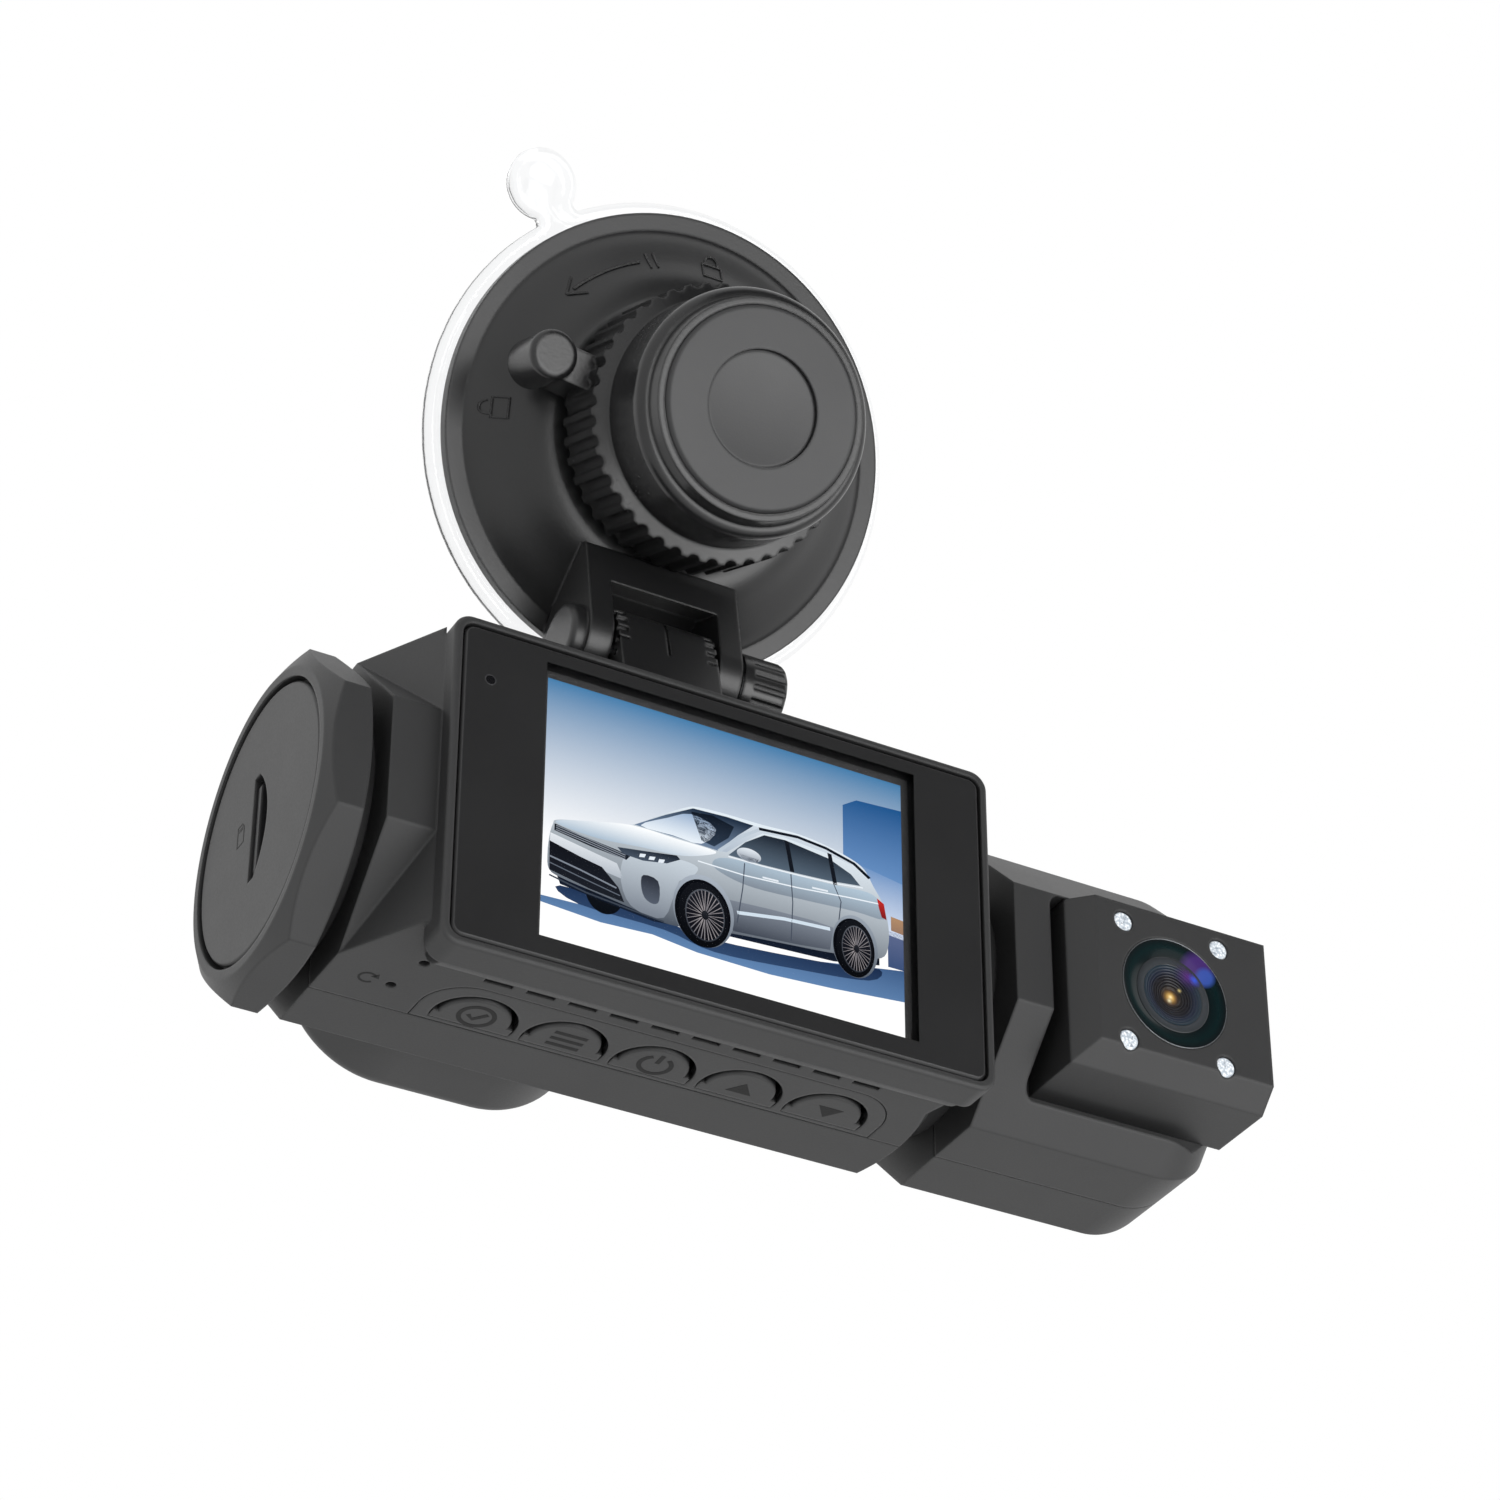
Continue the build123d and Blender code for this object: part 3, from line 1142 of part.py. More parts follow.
with BuildPart() as ir_leds:
    with BuildSketch(facing(IR_BOARD_Y)):
        with Locations(led_places):
            Circle(LED_R)
    extrude(amount=IR_BOARD_Y - BLOCK_FACE_Y - 0.1)
    fillet(ir_leds.faces().group_by(Axis.Y)[0].edges(), 0.3)
save(ir_leds.part, "ir_leds")

CABIN_BARREL_FRONT_Y = BLOCK_FACE_Y + 1.2
with BuildPart() as cabin_barrel:
    with BuildSketch(facing(RECESS_FLOOR_Y + WALL - 0.1)):
        with Locations((LENS_X, LENS_Z)):
            Circle(CABIN_BARREL_R)
    extrude(amount=RECESS_FLOOR_Y + WALL - 0.1 - CABIN_BARREL_FRONT_Y)
    with BuildSketch(facing(CABIN_BARREL_FRONT_Y)):
        with Locations((LENS_X, LENS_Z)):
            Circle(CABIN_BARREL_R - 0.7)
    extrude(amount=-1.6, taper=20, mode=Mode.SUBTRACT)
save(cabin_barrel.part, "cabin_barrel")

CABIN_GLASS_R = 3.3
CABIN_DOME_R = 4.4
with BuildPart() as cabin_lens:
    with BuildSketch(facing(CABIN_BARREL_FRONT_Y + 1.6)):
        with Locations((LENS_X, LENS_Z)):
            Circle(CABIN_GLASS_R)
    extrude(amount=2.0)
    with Locations((LENS_X, AXIS_Y + CABIN_BARREL_FRONT_Y - 0.4 + CABIN_DOME_R, AXIS_Z + LENS_Z)):
        Sphere(CABIN_DOME_R, mode=Mode.INTERSECT)
save(cabin_lens.part, "cabin_lens")

with BuildPart() as cabin_ring:
    with BuildSketch(facing(IR_BOARD_Y - 0.1)):
        with Locations((LENS_X, LENS_Z)):
            Circle(CABIN_RING_R)
            Circle(CABIN_BARREL_R + RUNNING, mode=Mode.SUBTRACT)
    extrude(amount=IR_BOARD_Y - 0.1 - BLOCK_FACE_Y + 0.05)
    chamfer(cabin_ring.faces().sort_by(Axis.Y)[0].edges().sort_by(SortBy.LENGTH)[0], 0.5)
save(cabin_ring.part, "cabin_ring")

with BuildPart() as cabin_sensor:
    with BuildSketch(facing(RECESS_FLOOR_Y + WALL + 2.0)):
        with Locations((LENS_X, LENS_Z)):
            Rectangle(14, 13)
    extrude(amount=1.0)
    with BuildSketch(facing(RECESS_FLOOR_Y + WALL + 1.0)):
        with Locations((LENS_X, LENS_Z)):
            Rectangle(8, 8)
    extrude(amount=1.0)
save(cabin_sensor.part, "cabin_sensor")
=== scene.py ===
"""Finishes and stage for the windscreen dash camera, laid out as an add-on and run as a script.

Lengths are metres in the row frame: +X to the driver's right, +Y out through the windscreen, +Z up.
Small drawings on the faces are set out in millimetres and placed by the Placed class.
"""

import math

import bmesh
import bpy
from mathutils import Matrix, Vector
from mathutils.bvhtree import BVHTree
from mathutils.geometry import tessellate_polygon


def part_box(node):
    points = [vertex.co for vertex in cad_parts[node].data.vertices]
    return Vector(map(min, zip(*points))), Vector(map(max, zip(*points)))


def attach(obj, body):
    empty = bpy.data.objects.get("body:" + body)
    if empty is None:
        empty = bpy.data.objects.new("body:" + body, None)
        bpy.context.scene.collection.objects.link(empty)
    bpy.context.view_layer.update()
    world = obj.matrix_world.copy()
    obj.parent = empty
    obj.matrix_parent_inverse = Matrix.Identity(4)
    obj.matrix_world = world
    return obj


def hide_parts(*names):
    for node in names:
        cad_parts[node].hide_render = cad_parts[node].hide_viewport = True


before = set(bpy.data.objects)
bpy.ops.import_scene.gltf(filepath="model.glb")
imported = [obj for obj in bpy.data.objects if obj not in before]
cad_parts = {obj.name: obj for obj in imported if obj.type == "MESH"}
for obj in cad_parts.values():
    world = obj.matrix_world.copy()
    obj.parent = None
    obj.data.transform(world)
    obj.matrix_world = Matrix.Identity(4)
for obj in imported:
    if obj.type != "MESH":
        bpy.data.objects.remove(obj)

bl_info = {
    "name": "Dash camera finish",
    "version": (1, 0, 0),
    "blender": (4, 5, 0),
    "location": "3D View > Sidebar > Dash camera",
    "description": "Builds the finishes, screen picture, lenses, marks and stage of the dash camera",
    "category": "Object",
}

MM = 0.001
BODY_LOW_Z = -0.0794
MOST_LAYERS = 18
MARK_LOW, MARK_HIGH = -0.02, 0.02
CABIN_STACK_R = 6.45
FRONT_STACK_R = 5.6
RAKE = math.radians(25)
CASE_NODES = (
    "front_shell",
    "rear_shell",
    "end_cap",
    "end_disc",
    "swivel_neck",
    "cabin_front_shell",
    "cabin_rear_shell",
    "cabin_block",
    "reset_button",
)
KEY_NAMES = ("confirm", "menu", "power", "up", "down")


def extent(node):
    """The node's lowest and highest corner and its centre, in metres."""
    low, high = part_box(node)
    return low, high, (low + high) / 2


def linear(red, green, blue, alpha=1.0):
    """A display colour, 0 to 255 a channel, as the linear colour that shaders use."""
    channels = []
    for value in (red, green, blue):
        share = value / 255
        low = share / 12.92
        high = ((share + 0.055) / 1.055) ** 2.4
        channels.append(low if share <= 0.04045 else high)
    return (*channels, alpha)


# ---------------------------------------------------------------- shader maths


class Link:
    """A shader socket that takes part in Python arithmetic; each operator adds its Math node."""

    def __init__(self, shader, socket):
        self.shader = shader
        self.socket = socket

    def math(self, operation, *others, clamp=False):
        values = dict(enumerate((self, *others)))
        return self.shader.add("ShaderNodeMath", {"operation": operation, "use_clamp": clamp}, values)

    def flipped(self, operation, other):
        return self.shader.add("ShaderNodeMath", {"operation": operation}, {0: other, 1: self})

    def __add__(self, other):
        return self.math("ADD", other)

    def __sub__(self, other):
        return self.math("SUBTRACT", other)

    def __mul__(self, other):
        return self.math("MULTIPLY", other)

    def __truediv__(self, other):
        return self.math("DIVIDE", other)

    def __pow__(self, other):
        return self.math("POWER", other)

    def __rsub__(self, other):
        return self.flipped("SUBTRACT", other)

    def __rtruediv__(self, other):
        return self.flipped("DIVIDE", other)

    __radd__ = __add__
    __rmul__ = __mul__

    def below(self, limit):
        return self.math("LESS_THAN", limit)

    def above(self, limit):
        return self.math("GREATER_THAN", limit)

    def held(self):
        """The value kept between 0 and 1."""
        return self.math("MULTIPLY", 1.0, clamp=True)


class Shader:
    """A material's node tree with one Principled surface."""

    def __init__(self, name, **fixed):
        self.material = bpy.data.materials.new(name)
        self.material.use_nodes = True
        self.tree = self.material.node_tree
        self.tree.nodes.clear()
        output = self.tree.nodes.new("ShaderNodeOutputMaterial")
        self.surface = self.tree.nodes.new("ShaderNodeBsdfPrincipled")
        self.tree.links.new(self.surface.outputs[0], output.inputs[0])
        for socket, value in fixed.items():
            self.surface.inputs[socket.replace("_", " ")].default_value = value
        self.place = self.add("ShaderNodeTexCoord", out="Object")

    def add(self, kind, settings=None, sockets=None, out=0):
        """Any node: its type, its settings, the values or links of its sockets, and the output used."""
        node = self.tree.nodes.new(kind)
        for name, value in (settings or {}).items():
            if name == "stops":
                ramp = node.color_ramp
                while len(ramp.elements) < len(value):
                    ramp.elements.new(1.0)
                for element, (position, colour) in zip(ramp.elements, value):
                    element.position = position
                    element.color = colour
            else:
                setattr(node, name, value)
        for name, value in (sockets or {}).items():
            self.feed(node.inputs[name], value)
        return Link(self, node.outputs[out])

    def feed(self, socket, value):
        if isinstance(value, Link):
            self.tree.links.new(value.socket, socket)
        else:
            socket.default_value = value

    def vary(self, **sockets):
        """Links what changes over the surface to the Principled sockets of these names."""
        for name, link in sockets.items():
            self.feed(self.surface.inputs[name.replace("_", " ")], link)

    def noise(self, size, detail=2.0, where=None, rough=0.5):
        """Noise whose features are about size metres across."""
        sockets = {"Vector": where or self.place, "Scale": 1 / size, "Detail": detail, "Roughness": rough}
        return self.add("ShaderNodeTexNoise", {}, sockets)

    def mix(self, factor, first, second):
        sockets = {"Factor": factor, 6: first, 7: second}
        return self.add("ShaderNodeMix", {"data_type": "RGBA"}, sockets, out=2)

    def axes(self):
        """The three object coordinates, in metres, as separate values."""
        split = self.add("ShaderNodeSeparateXYZ", {}, {0: self.place})
        node = split.socket.node
        return [Link(self, socket) for socket in node.outputs]

    def squeezed(self, x, y, z):
        """Object coordinates scaled along each axis, for brushed or drawn textures."""
        sockets = {0: self.place, 1: (x, y, z)}
        return self.add("ShaderNodeVectorMath", {"operation": "MULTIPLY"}, sockets)

    def rounded_edges(self, radius):
        """A normal that rounds the edges, and how near an edge each point lies."""
        normal = self.add("ShaderNodeBevel", {"samples": 4}, {"Radius": radius})
        flat = self.add("ShaderNodeNewGeometry", out="Normal")
        sockets = {0: normal, 1: flat}
        dot = self.add("ShaderNodeVectorMath", {"operation": "DOT_PRODUCT"}, sockets, out="Value")
        return normal, ((1 - dot) * 4.0).held()

    def glow(self, side, rise, angle, distance, size):
        """Painted glint: one at a spot of a round face, at an angle in degrees, fading to none at its size.
        """
        turn = math.radians(angle)
        spot_x = side - math.cos(turn) * distance
        spot_z = rise - math.sin(turn) * distance
        return (1 - (spot_x * spot_x + spot_z * spot_z) ** 0.5 / size).held()

    def bumped(self, height, depth, normal=None, strength=1.0):
        sockets = {"Height": height, "Distance": depth, "Strength": strength}
        if normal is not None:
            sockets["Normal"] = normal
        self.vary(Normal=self.add("ShaderNodeBump", {}, sockets))


def plastic(name, colour, rough, settings, grain=1.0, coat=0.0, specular=0.5, edge_light=0.35):
    """Moulded plastic: spark-eroded grain, faint flow clouding, edges rubbed a little smoother, and a painted
    highlight that lightens the edges.
    """
    shader = Shader(name, Specular_IOR_Level=specular, Coat_Weight=coat)
    normal, edge = shader.rounded_edges(settings.edge_radius)
    fine = shader.noise(0.00022 * grain, 3.0)
    cloud = shader.noise(0.006, 2.0)
    smudge = shader.noise(0.019, 3.0, rough=0.65)
    dark = (colour[0] * 0.86, colour[1] * 0.86, colour[2] * 0.87, 1)
    light = (colour[0] * 1.14, colour[1] * 1.14, colour[2] * 1.13, 1)
    # Painted highlight: near the edges the colour is lightened by edge_light.
    edge_highlight = tuple(min(1, c * (1 + edge_light)) for c in colour[:3]) + (1,)
    body = shader.mix(cloud * 0.6 + fine * 0.4, dark, light)
    shader.vary(Base_Color=shader.mix(edge * 0.7, body, edge_highlight))
    shader.vary(Roughness=(fine - 0.5) * 0.14 + (smudge - 0.5) * 0.12 - edge * 0.06 + rough)
    shader.bumped(fine, settings.grain_depth, normal)
    return shader.material


def metal(name, colour, rough, grain_depth=3e-6, drawn=(1, 1, 1), tarnish=0.12):
    """Plated or turned metal: fine machining lines, dull patches, and a painted highlight that makes edges
    and corners brighter.
    """
    shader = Shader(name, Metallic=1.0)
    normal, edge = shader.rounded_edges(0.00012)
    lines = shader.noise(0.00016, 3.0, shader.squeezed(*drawn))
    patch = shader.noise(0.0021, 3.0)
    dull = tuple(c * (1 - tarnish * 2) for c in colour[:3]) + (1,)
    # Painted highlight: a lighter copy of the colour near edges and corners.
    bright = tuple(min(1, c * 1.12) for c in colour[:3]) + (1,)
    body = shader.mix(patch, dull, (*colour[:3], 1))
    shader.vary(Base_Color=shader.mix(edge, body, bright))
    shader.vary(Roughness=(lines - 0.5) * 0.3 + (patch - 0.5) * 0.2 + rough)
    shader.bumped(lines, grain_depth, normal)
    return shader.material


def circuit(name):
    """Green solder mask over copper tracks, with tinned pads and a little glass weave."""
    shader = Shader(name, Coat_Weight=0.4, Coat_Roughness=0.2)
    x, _, z = shader.axes()
    cells = {"Vector": shader.place, "Scale": 520.0}
    copper = shader.add("ShaderNodeTexVoronoi", {"distance": "MANHATTAN"}, cells)
    tracks = (copper * 6.0).math("FRACT").below(0.42)
    pads = shader.add("ShaderNodeTexVoronoi", {}, {"Vector": shader.place, "Scale": 380.0}).below(0.13)
    weave = (x * 9000).math("SINE") * (z * 9000).math("SINE") * 0.5 + 0.5
    mask = shader.mix(tracks, (0.006, 0.06, 0.022, 1), (0.012, 0.12, 0.042, 1))
    shader.vary(Base_Color=shader.mix(pads, mask, (0.62, 0.6, 0.55, 1)))
    shader.vary(Metallic=pads * 0.9, Roughness=weave * 0.1 + 0.32 - pads * 0.08)
    shader.bumped(tracks * 0.7 + pads + weave * 0.2, 0.00003)
    return shader.material


def chip_black(name):
    """Moulded chip package with laser-etched dust and a matt top."""
    shader = Shader(name, Specular_IOR_Level=0.4)
    fine = shader.noise(0.00012, 3.0)
    patch = shader.noise(0.0015, 2.0)
    shader.vary(Base_Color=shader.mix(patch, (0.012, 0.012, 0.013, 1), (0.028, 0.028, 0.03, 1)))
    shader.vary(Roughness=fine * 0.25 + 0.45)
    shader.bumped(fine, 0.00001)
    return shader.material


def shrink_wrap(name):
    """Blue heat-shrunk film with fine wrinkles that run round the cell."""
    shader = Shader(name, Specular_IOR_Level=0.5)
    wrinkle = shader.noise(0.0011, 4.0, shader.squeezed(0.25, 1, 1.6))
    shade = shader.noise(0.004, 2.0)
    shader.vary(Base_Color=shader.mix(shade, (0.02, 0.045, 0.22, 1), (0.035, 0.08, 0.34, 1)))
    shader.vary(Roughness=wrinkle * 0.2 + 0.22)
    shader.bumped(wrinkle, 0.00008)
    return shader.material


def clear_cup_material(name, colour):
    """Soft clear polyurethane: see-through, faintly clouded, with fine moulding ripples."""
    shader = Shader(name, Transmission_Weight=1.0, IOR=1.38)
    ripple = shader.noise(0.0016, 2.0)
    cloud = shader.noise(0.007, 2.0)
    tint = tuple(c * 0.965 for c in colour[:3]) + (1,)
    shader.vary(Base_Color=shader.mix(cloud, tint, (*colour[:3], 1)))
    shader.vary(Roughness=cloud * 0.08 + 0.03)
    shader.bumped(ripple, 0.00003)
    return shader.material


def cover_glass(name, window, settings):
    """Black-printed cover glass with a clear window over the picture, and a painted highlight along its
    edges.
    """
    left, right, low, high = window
    shader = Shader(name, Specular_IOR_Level=0.5, Coat_Weight=0.0)
    x, _, z = shader.axes()
    middle_x, middle_z = (left + right) / 2, (low + high) / 2
    across = (x - middle_x).math("ABSOLUTE").below((right - left) / 2)
    upright = (z - middle_z).math("ABSOLUTE").below((high - low) / 2)
    clear = across * upright
    haze = shader.noise(0.011, 3.0)
    grain = shader.noise(0.0004, 2.0)
    normal, edge = shader.rounded_edges(0.00018)
    print_tone = shader.mix(haze, settings.glass_dark, settings.glass_light)
    # Painted highlight: a lighter grey mixed in near the glass's edges.
    shader.vary(Base_Color=shader.mix(edge, print_tone, (0.05, 0.05, 0.052, 1)))
    shader.vary(Alpha=1 - clear * (1 - settings.window_haze))
    shader.vary(
        Roughness=haze * 0.06 + grain * 0.02 + settings.glass_rough - clear * settings.glass_rough * 0.8
    )
    shader.bumped(haze, 0.00001, normal)
    return shader.material


def picture_material(name, brightness):
    """A lit display: each vertex carries its colour."""
    shader = Shader(name, Emission_Strength=brightness, Specular_IOR_Level=0.0, Roughness=0.6)
    colour = shader.add("ShaderNodeVertexColor", {"layer_name": "picture"})
    shader.vary(Emission_Color=colour)
    shader.vary(Base_Color=shader.mix(0.96, colour, (0, 0, 0, 1)))
    return shader.material


def printed(name, colour, rough=0.5):
    """Pad-printed or engraved mark: a thin film with a little speckle."""
    shader = Shader(name, Specular_IOR_Level=0.3)
    speckle = shader.noise(0.00015, 3.0)
    dark = tuple(c * 0.75 for c in colour[:3]) + (1,)
    shader.vary(Base_Color=shader.mix(speckle, dark, (*colour[:3], 1)))
    shader.vary(Roughness=speckle * 0.15 + rough)
    shader.bumped(speckle, 0.000004)
    return shader.material


def lamp_material(name, glow):
    """Clear lamp epoxy over a bright reflector; the faceted sparkle inside is a painted glint in the colour,
    which the lamp's glow carries too.
    """
    shader = Shader(name, Coat_Weight=0.6, Coat_Roughness=0.08, Emission_Strength=glow)
    sockets = {"Vector": shader.place, "Scale": 3300.0}
    cell = shader.add("ShaderNodeTexVoronoi", {"feature": "F1"}, sockets)
    facet_glint = (cell * 1.4).held()
    fleck = shader.noise(0.0005, 2.0).above(0.62)
    tone = shader.mix(facet_glint, (0.8, 0.82, 0.84, 1), (0.3, 0.34, 0.38, 1))
    tone = shader.mix(fleck * 0.6, tone, (0.12, 0.14, 0.17, 1))
    shader.vary(Base_Color=tone, Emission_Color=tone, Roughness=facet_glint * 0.2 + 0.12)
    shader.bumped(cell, 0.00002)
    return shader.material


def lens_face(name, centre, across, radius, tones, glint=None):
    """A lens part whose tone runs with its radius; a glint is a painted coating reflection given by the
    angle, reach, size and colour of a glow.
    """
    shader = Shader(name, Specular_IOR_Level=0.22, Coat_Weight=0.0)
    x, _, z = shader.axes()
    side = (x - centre.x) * across
    rise = z - centre.z
    reach = (side * side + rise * rise) ** 0.5 / radius
    stops = [(share, colour) for share, colour in tones]
    tone = shader.add("ShaderNodeValToRGB", {"stops": stops}, {0: reach})
    # Each glint paints a coloured coating reflection over the tone.
    for angle, distance, size, colour in glint or ():
        fade = shader.glow(side, rise, angle, distance, size)
        tone = shader.mix((fade * 2.2).held() * 0.85, tone, colour)
    dust = shader.noise(0.0003, 2.0)
    shader.vary(Base_Color=tone, Roughness=dust * 0.08 + 0.12)
    return shader.material


def lens_dome_material(name, centre, across, glint):
    """The front element: nearly clear, with painted coating reflections and highlights, which also glow
    though the glass is no lamp.
    """
    # Emission makes the painted glints glow, though the dome is no lamp.
    shader = Shader(
        name, Specular_IOR_Level=0.35, Coat_Weight=0.25, Coat_Roughness=0.02, Emission_Strength=0.12
    )
    x, _, z = shader.axes()
    side = (x - centre.x) * across
    rise = z - centre.z
    tone = (0.02, 0.03, 0.05, 1)
    glint_cover = None
    # Each glint paints a coloured reflection or highlight onto the glass and makes the glass less clear
    # there.
    for angle, distance, size, colour in glint:
        fade = shader.glow(side, rise, angle, distance, size)
        tone = shader.mix(fade, tone, colour)
        glint_cover = fade if glint_cover is None else glint_cover + fade
    shader.vary(
        Base_Color=tone, Emission_Color=tone, Alpha=(glint_cover * 0.6 + 0.05).held(), Roughness=glint_cover * 0.05 + 0.04
    )
    return shader.material


# ---------------------------------------------------------------- mesh helpers


class Placed:
    """A drawing frame on a face: millimetres across, up and out of the face."""

    def __init__(self, origin, across, up):
        self.origin = Vector(origin)
        self.across = Vector(across).normalized()
        self.up = Vector(up).normalized()
        self.out = self.across.cross(self.up)

    def at(self, across, up, out=0.0):
        return self.origin + MM * (self.across * across + self.up * up + self.out * out)


def ring_points(radius, count, start=0.0, sweep=360.0, centre=(0.0, 0.0)):
    """Points on an arc or circle, in millimetres and degrees; a full circle isn't closed by a repeat."""
    full = abs(sweep) >= 360
    steps = count if full else count - 1
    points = []
    for i in range(count):
        turn = math.radians(start + sweep * i / steps)
        points.append((centre[0] + radius * math.cos(turn), centre[1] + radius * math.sin(turn)))
    return points


def stroke(points, width, closed=False):
    """The outline of a line of even width through the points."""
    left, right = [], []
    count = len(points)
    for i, (x, y) in enumerate(points):
        before = points[i - 1] if closed or i else points[i]
        after = points[(i + 1) % count] if closed or i < count - 1 else points[i]
        dx, dy = after[0] - before[0], after[1] - before[1]
        length = math.hypot(dx, dy) or 1.0
        nx, ny = -dy / length * width / 2, dx / length * width / 2
        left.append((x + nx, y + ny))
        right.append((x - nx, y - ny))
    return left, right


class Solid:
    """Gathers vertices and faces of one mesh."""

    def __init__(self):
        self.vertices = []
        self.faces = []

    def points(self, points):
        first = len(self.vertices)
        self.vertices.extend(points)
        return list(range(first, len(self.vertices)))

    def skin(self, rings, closed=True, wrap=False):
        """Quads between rings of equal length; closed joins each ring's ends, wrap joins last to first."""
        pairs = list(zip(rings, rings[1:]))
        if wrap:
            pairs.append((rings[-1], rings[0]))
        for low, high in pairs:
            count = len(low)
            for i in range(count if closed else count - 1):
                j = (i + 1) % count
                self.faces.append((low[i], low[j], high[j], high[i]))

    def sheet(self, outline, hole):
        """Fills between an outline and a hole in it that lie in one plane."""
        order = [*outline, *hole]
        loops = [[self.vertices[i] for i in loop] for loop in (outline, hole)]
        for triangle in tessellate_polygon(loops):
            self.faces.append(tuple(order[i] for i in triangle))

    def prism(self, placed, outline, low, high):
        """An outline pushed out between two heights."""
        base = self.points([placed.at(x, y, low) for x, y in outline])
        top = self.points([placed.at(x, y, high) for x, y in outline])
        self.skin([base, top])
        self.faces.append(tuple(top))
        self.faces.append(tuple(reversed(base)))

    def band(self, placed, points, width, low, high, closed=False, lift=None):
        """A raised line of even width; lift gives the height of an uneven face under a point."""
        left, right = stroke(points, width, closed)
        rows = []
        for side, height in ((left, low), (left, high), (right, high), (right, low)):
            raised = [placed.at(x, y, height + (lift(x, y) if lift else 0)) for x, y in side]
            rows.append(self.points(raised))
        columns = list(zip(*rows))
        count = len(columns)
        for i in range(count if closed else count - 1):
            j = (i + 1) % count
            for k in range(4):
                m = (k + 1) % 4
                self.faces.append((columns[i][k], columns[i][m], columns[j][m], columns[j][k]))
        if not closed:
            self.faces.append(tuple(columns[0]))
            self.faces.append(tuple(reversed(columns[-1])))

    def turned(self, placed, profile, count=96, loop=False):
        """A profile of (radius, height) turned about the frame's out direction."""
        rings = []
        for radius, height in profile:
            if radius < 1e-6:
                rings.append(self.points([placed.at(0, 0, height)]) * count)
            else:
                circle = ring_points(radius, count)
                rings.append(self.points([placed.at(x, y, height) for x, y in circle]))
        pairs = list(zip(rings, rings[1:]))
        if loop:
            pairs.append((rings[-1], rings[0]))
        for low, high in pairs:
            for i in range(count):
                j = (i + 1) % count
                corners = list(dict.fromkeys((low[i], low[j], high[j], high[i])))
                if len(corners) > 2:
                    self.faces.append(tuple(corners))

    def piece(self, name, body, slot, material, smooth=35.0, replaced=()):
        """Makes the object, rides it on its body, and gives it its finish; the slot argument is not used."""
        if not self.faces:
            raise RuntimeError(f"{name} has no faces")
        mesh = bpy.data.meshes.new(name)
        mesh.from_pydata([tuple(v) for v in self.vertices], [], self.faces)
        shape = bmesh.new()
        shape.from_mesh(mesh)
        bmesh.ops.remove_doubles(shape, verts=shape.verts, dist=1e-8)
        bmesh.ops.recalc_face_normals(shape, faces=shape.faces)
        for face in shape.faces:
            face.smooth = True
        for edge in shape.edges:
            flat = len(edge.link_faces) == 2 and edge.calc_face_angle(0) < math.radians(smooth)
            edge.smooth = flat
        shape.to_mesh(mesh)
        shape.free()
        made = bpy.data.objects.new(name, mesh)
        bpy.context.scene.collection.objects.link(made)
        mesh.materials.append(material)
        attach(made, body)
        if replaced:
            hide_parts(*replaced)
        return made


def dress(nodes, material):
    """Gives CAD nodes a finish, without touching their shape."""
    for node in nodes:
        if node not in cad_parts:
            raise RuntimeError(f"the frame has no node {node}")
        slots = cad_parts[node].data.materials
        slots.clear()
        slots.append(material)


PAD = Placed((0, 0, 0), (1, 0, 0), (0, -math.sin(RAKE), math.cos(RAKE)))


# ---------------------------------------------------------------- settings


class CaseSettings(bpy.types.PropertyGroup):
    """Colours and grain of the moulded parts."""

    case_colour: bpy.props.FloatVectorProperty(
        name="Case colour",
        description="Linear colour of the camera's moulded case",
        default=(0.0165, 0.0167, 0.0172),
        size=3,
        min=0,
        max=1,
        subtype="COLOR",
    )
    mount_colour: bpy.props.FloatVectorProperty(
        name="Mount colour",
        description="Linear colour of the suction mount's plastic",
        default=(0.0095, 0.0096, 0.01),
        size=3,
        min=0,
        max=1,
        subtype="COLOR",
    )
    grain_depth: bpy.props.FloatProperty(
        name="Grain depth",
        description="Depth of the moulded surface's fine grain",
        default=0.000008,
        unit="LENGTH",
        precision=6,
    )
    edge_radius: bpy.props.FloatProperty(
        name="Edge radius",
        description="Rounding that moulded edges show to the light",
        default=0.00042,
        unit="LENGTH",
        precision=6,
    )


class CupSettings(bpy.types.PropertyGroup):
    """Sizes of the clear suction cup."""

    radius: bpy.props.FloatProperty(
        name="Cup radius",
        description="Outer radius of the clear cup",
        default=0.02775,
        unit="LENGTH",
        precision=5,
    )
    tab_reach: bpy.props.FloatProperty(
        name="Tab reach",
        description="How far the pull tab reaches",
        default=0.0359,
        unit="LENGTH",
        precision=5,
    )
    tab_width: bpy.props.FloatProperty(
        name="Tab width", description="Width of the pull tab", default=0.0082, unit="LENGTH", precision=5
    )
    neck_width: bpy.props.FloatProperty(
        name="Neck width",
        description="Width of the pull tab's neck",
        default=0.0046,
        unit="LENGTH",
        precision=5,
    )
    hole_radius: bpy.props.FloatProperty(
        name="Hole radius",
        description="Middle of the cup, hidden by the base",
        default=0.014,
        unit="LENGTH",
        precision=5,
    )
    tab_angle: bpy.props.FloatProperty(
        name="Tab angle",
        description="Where the tab stands round the cup, from +X",
        default=math.radians(129),
        unit="ROTATION",
    )
    rim_height: bpy.props.FloatProperty(
        name="Rim height",
        description="Thickness of the cup's edge",
        default=0.002,
        unit="LENGTH",
        precision=5,
    )
    colour: bpy.props.FloatVectorProperty(
        name="Cup colour",
        description="Tint of the clear polyurethane",
        default=(0.97, 0.975, 0.98),
        size=3,
        min=0,
        max=1,
        subtype="COLOR",
    )


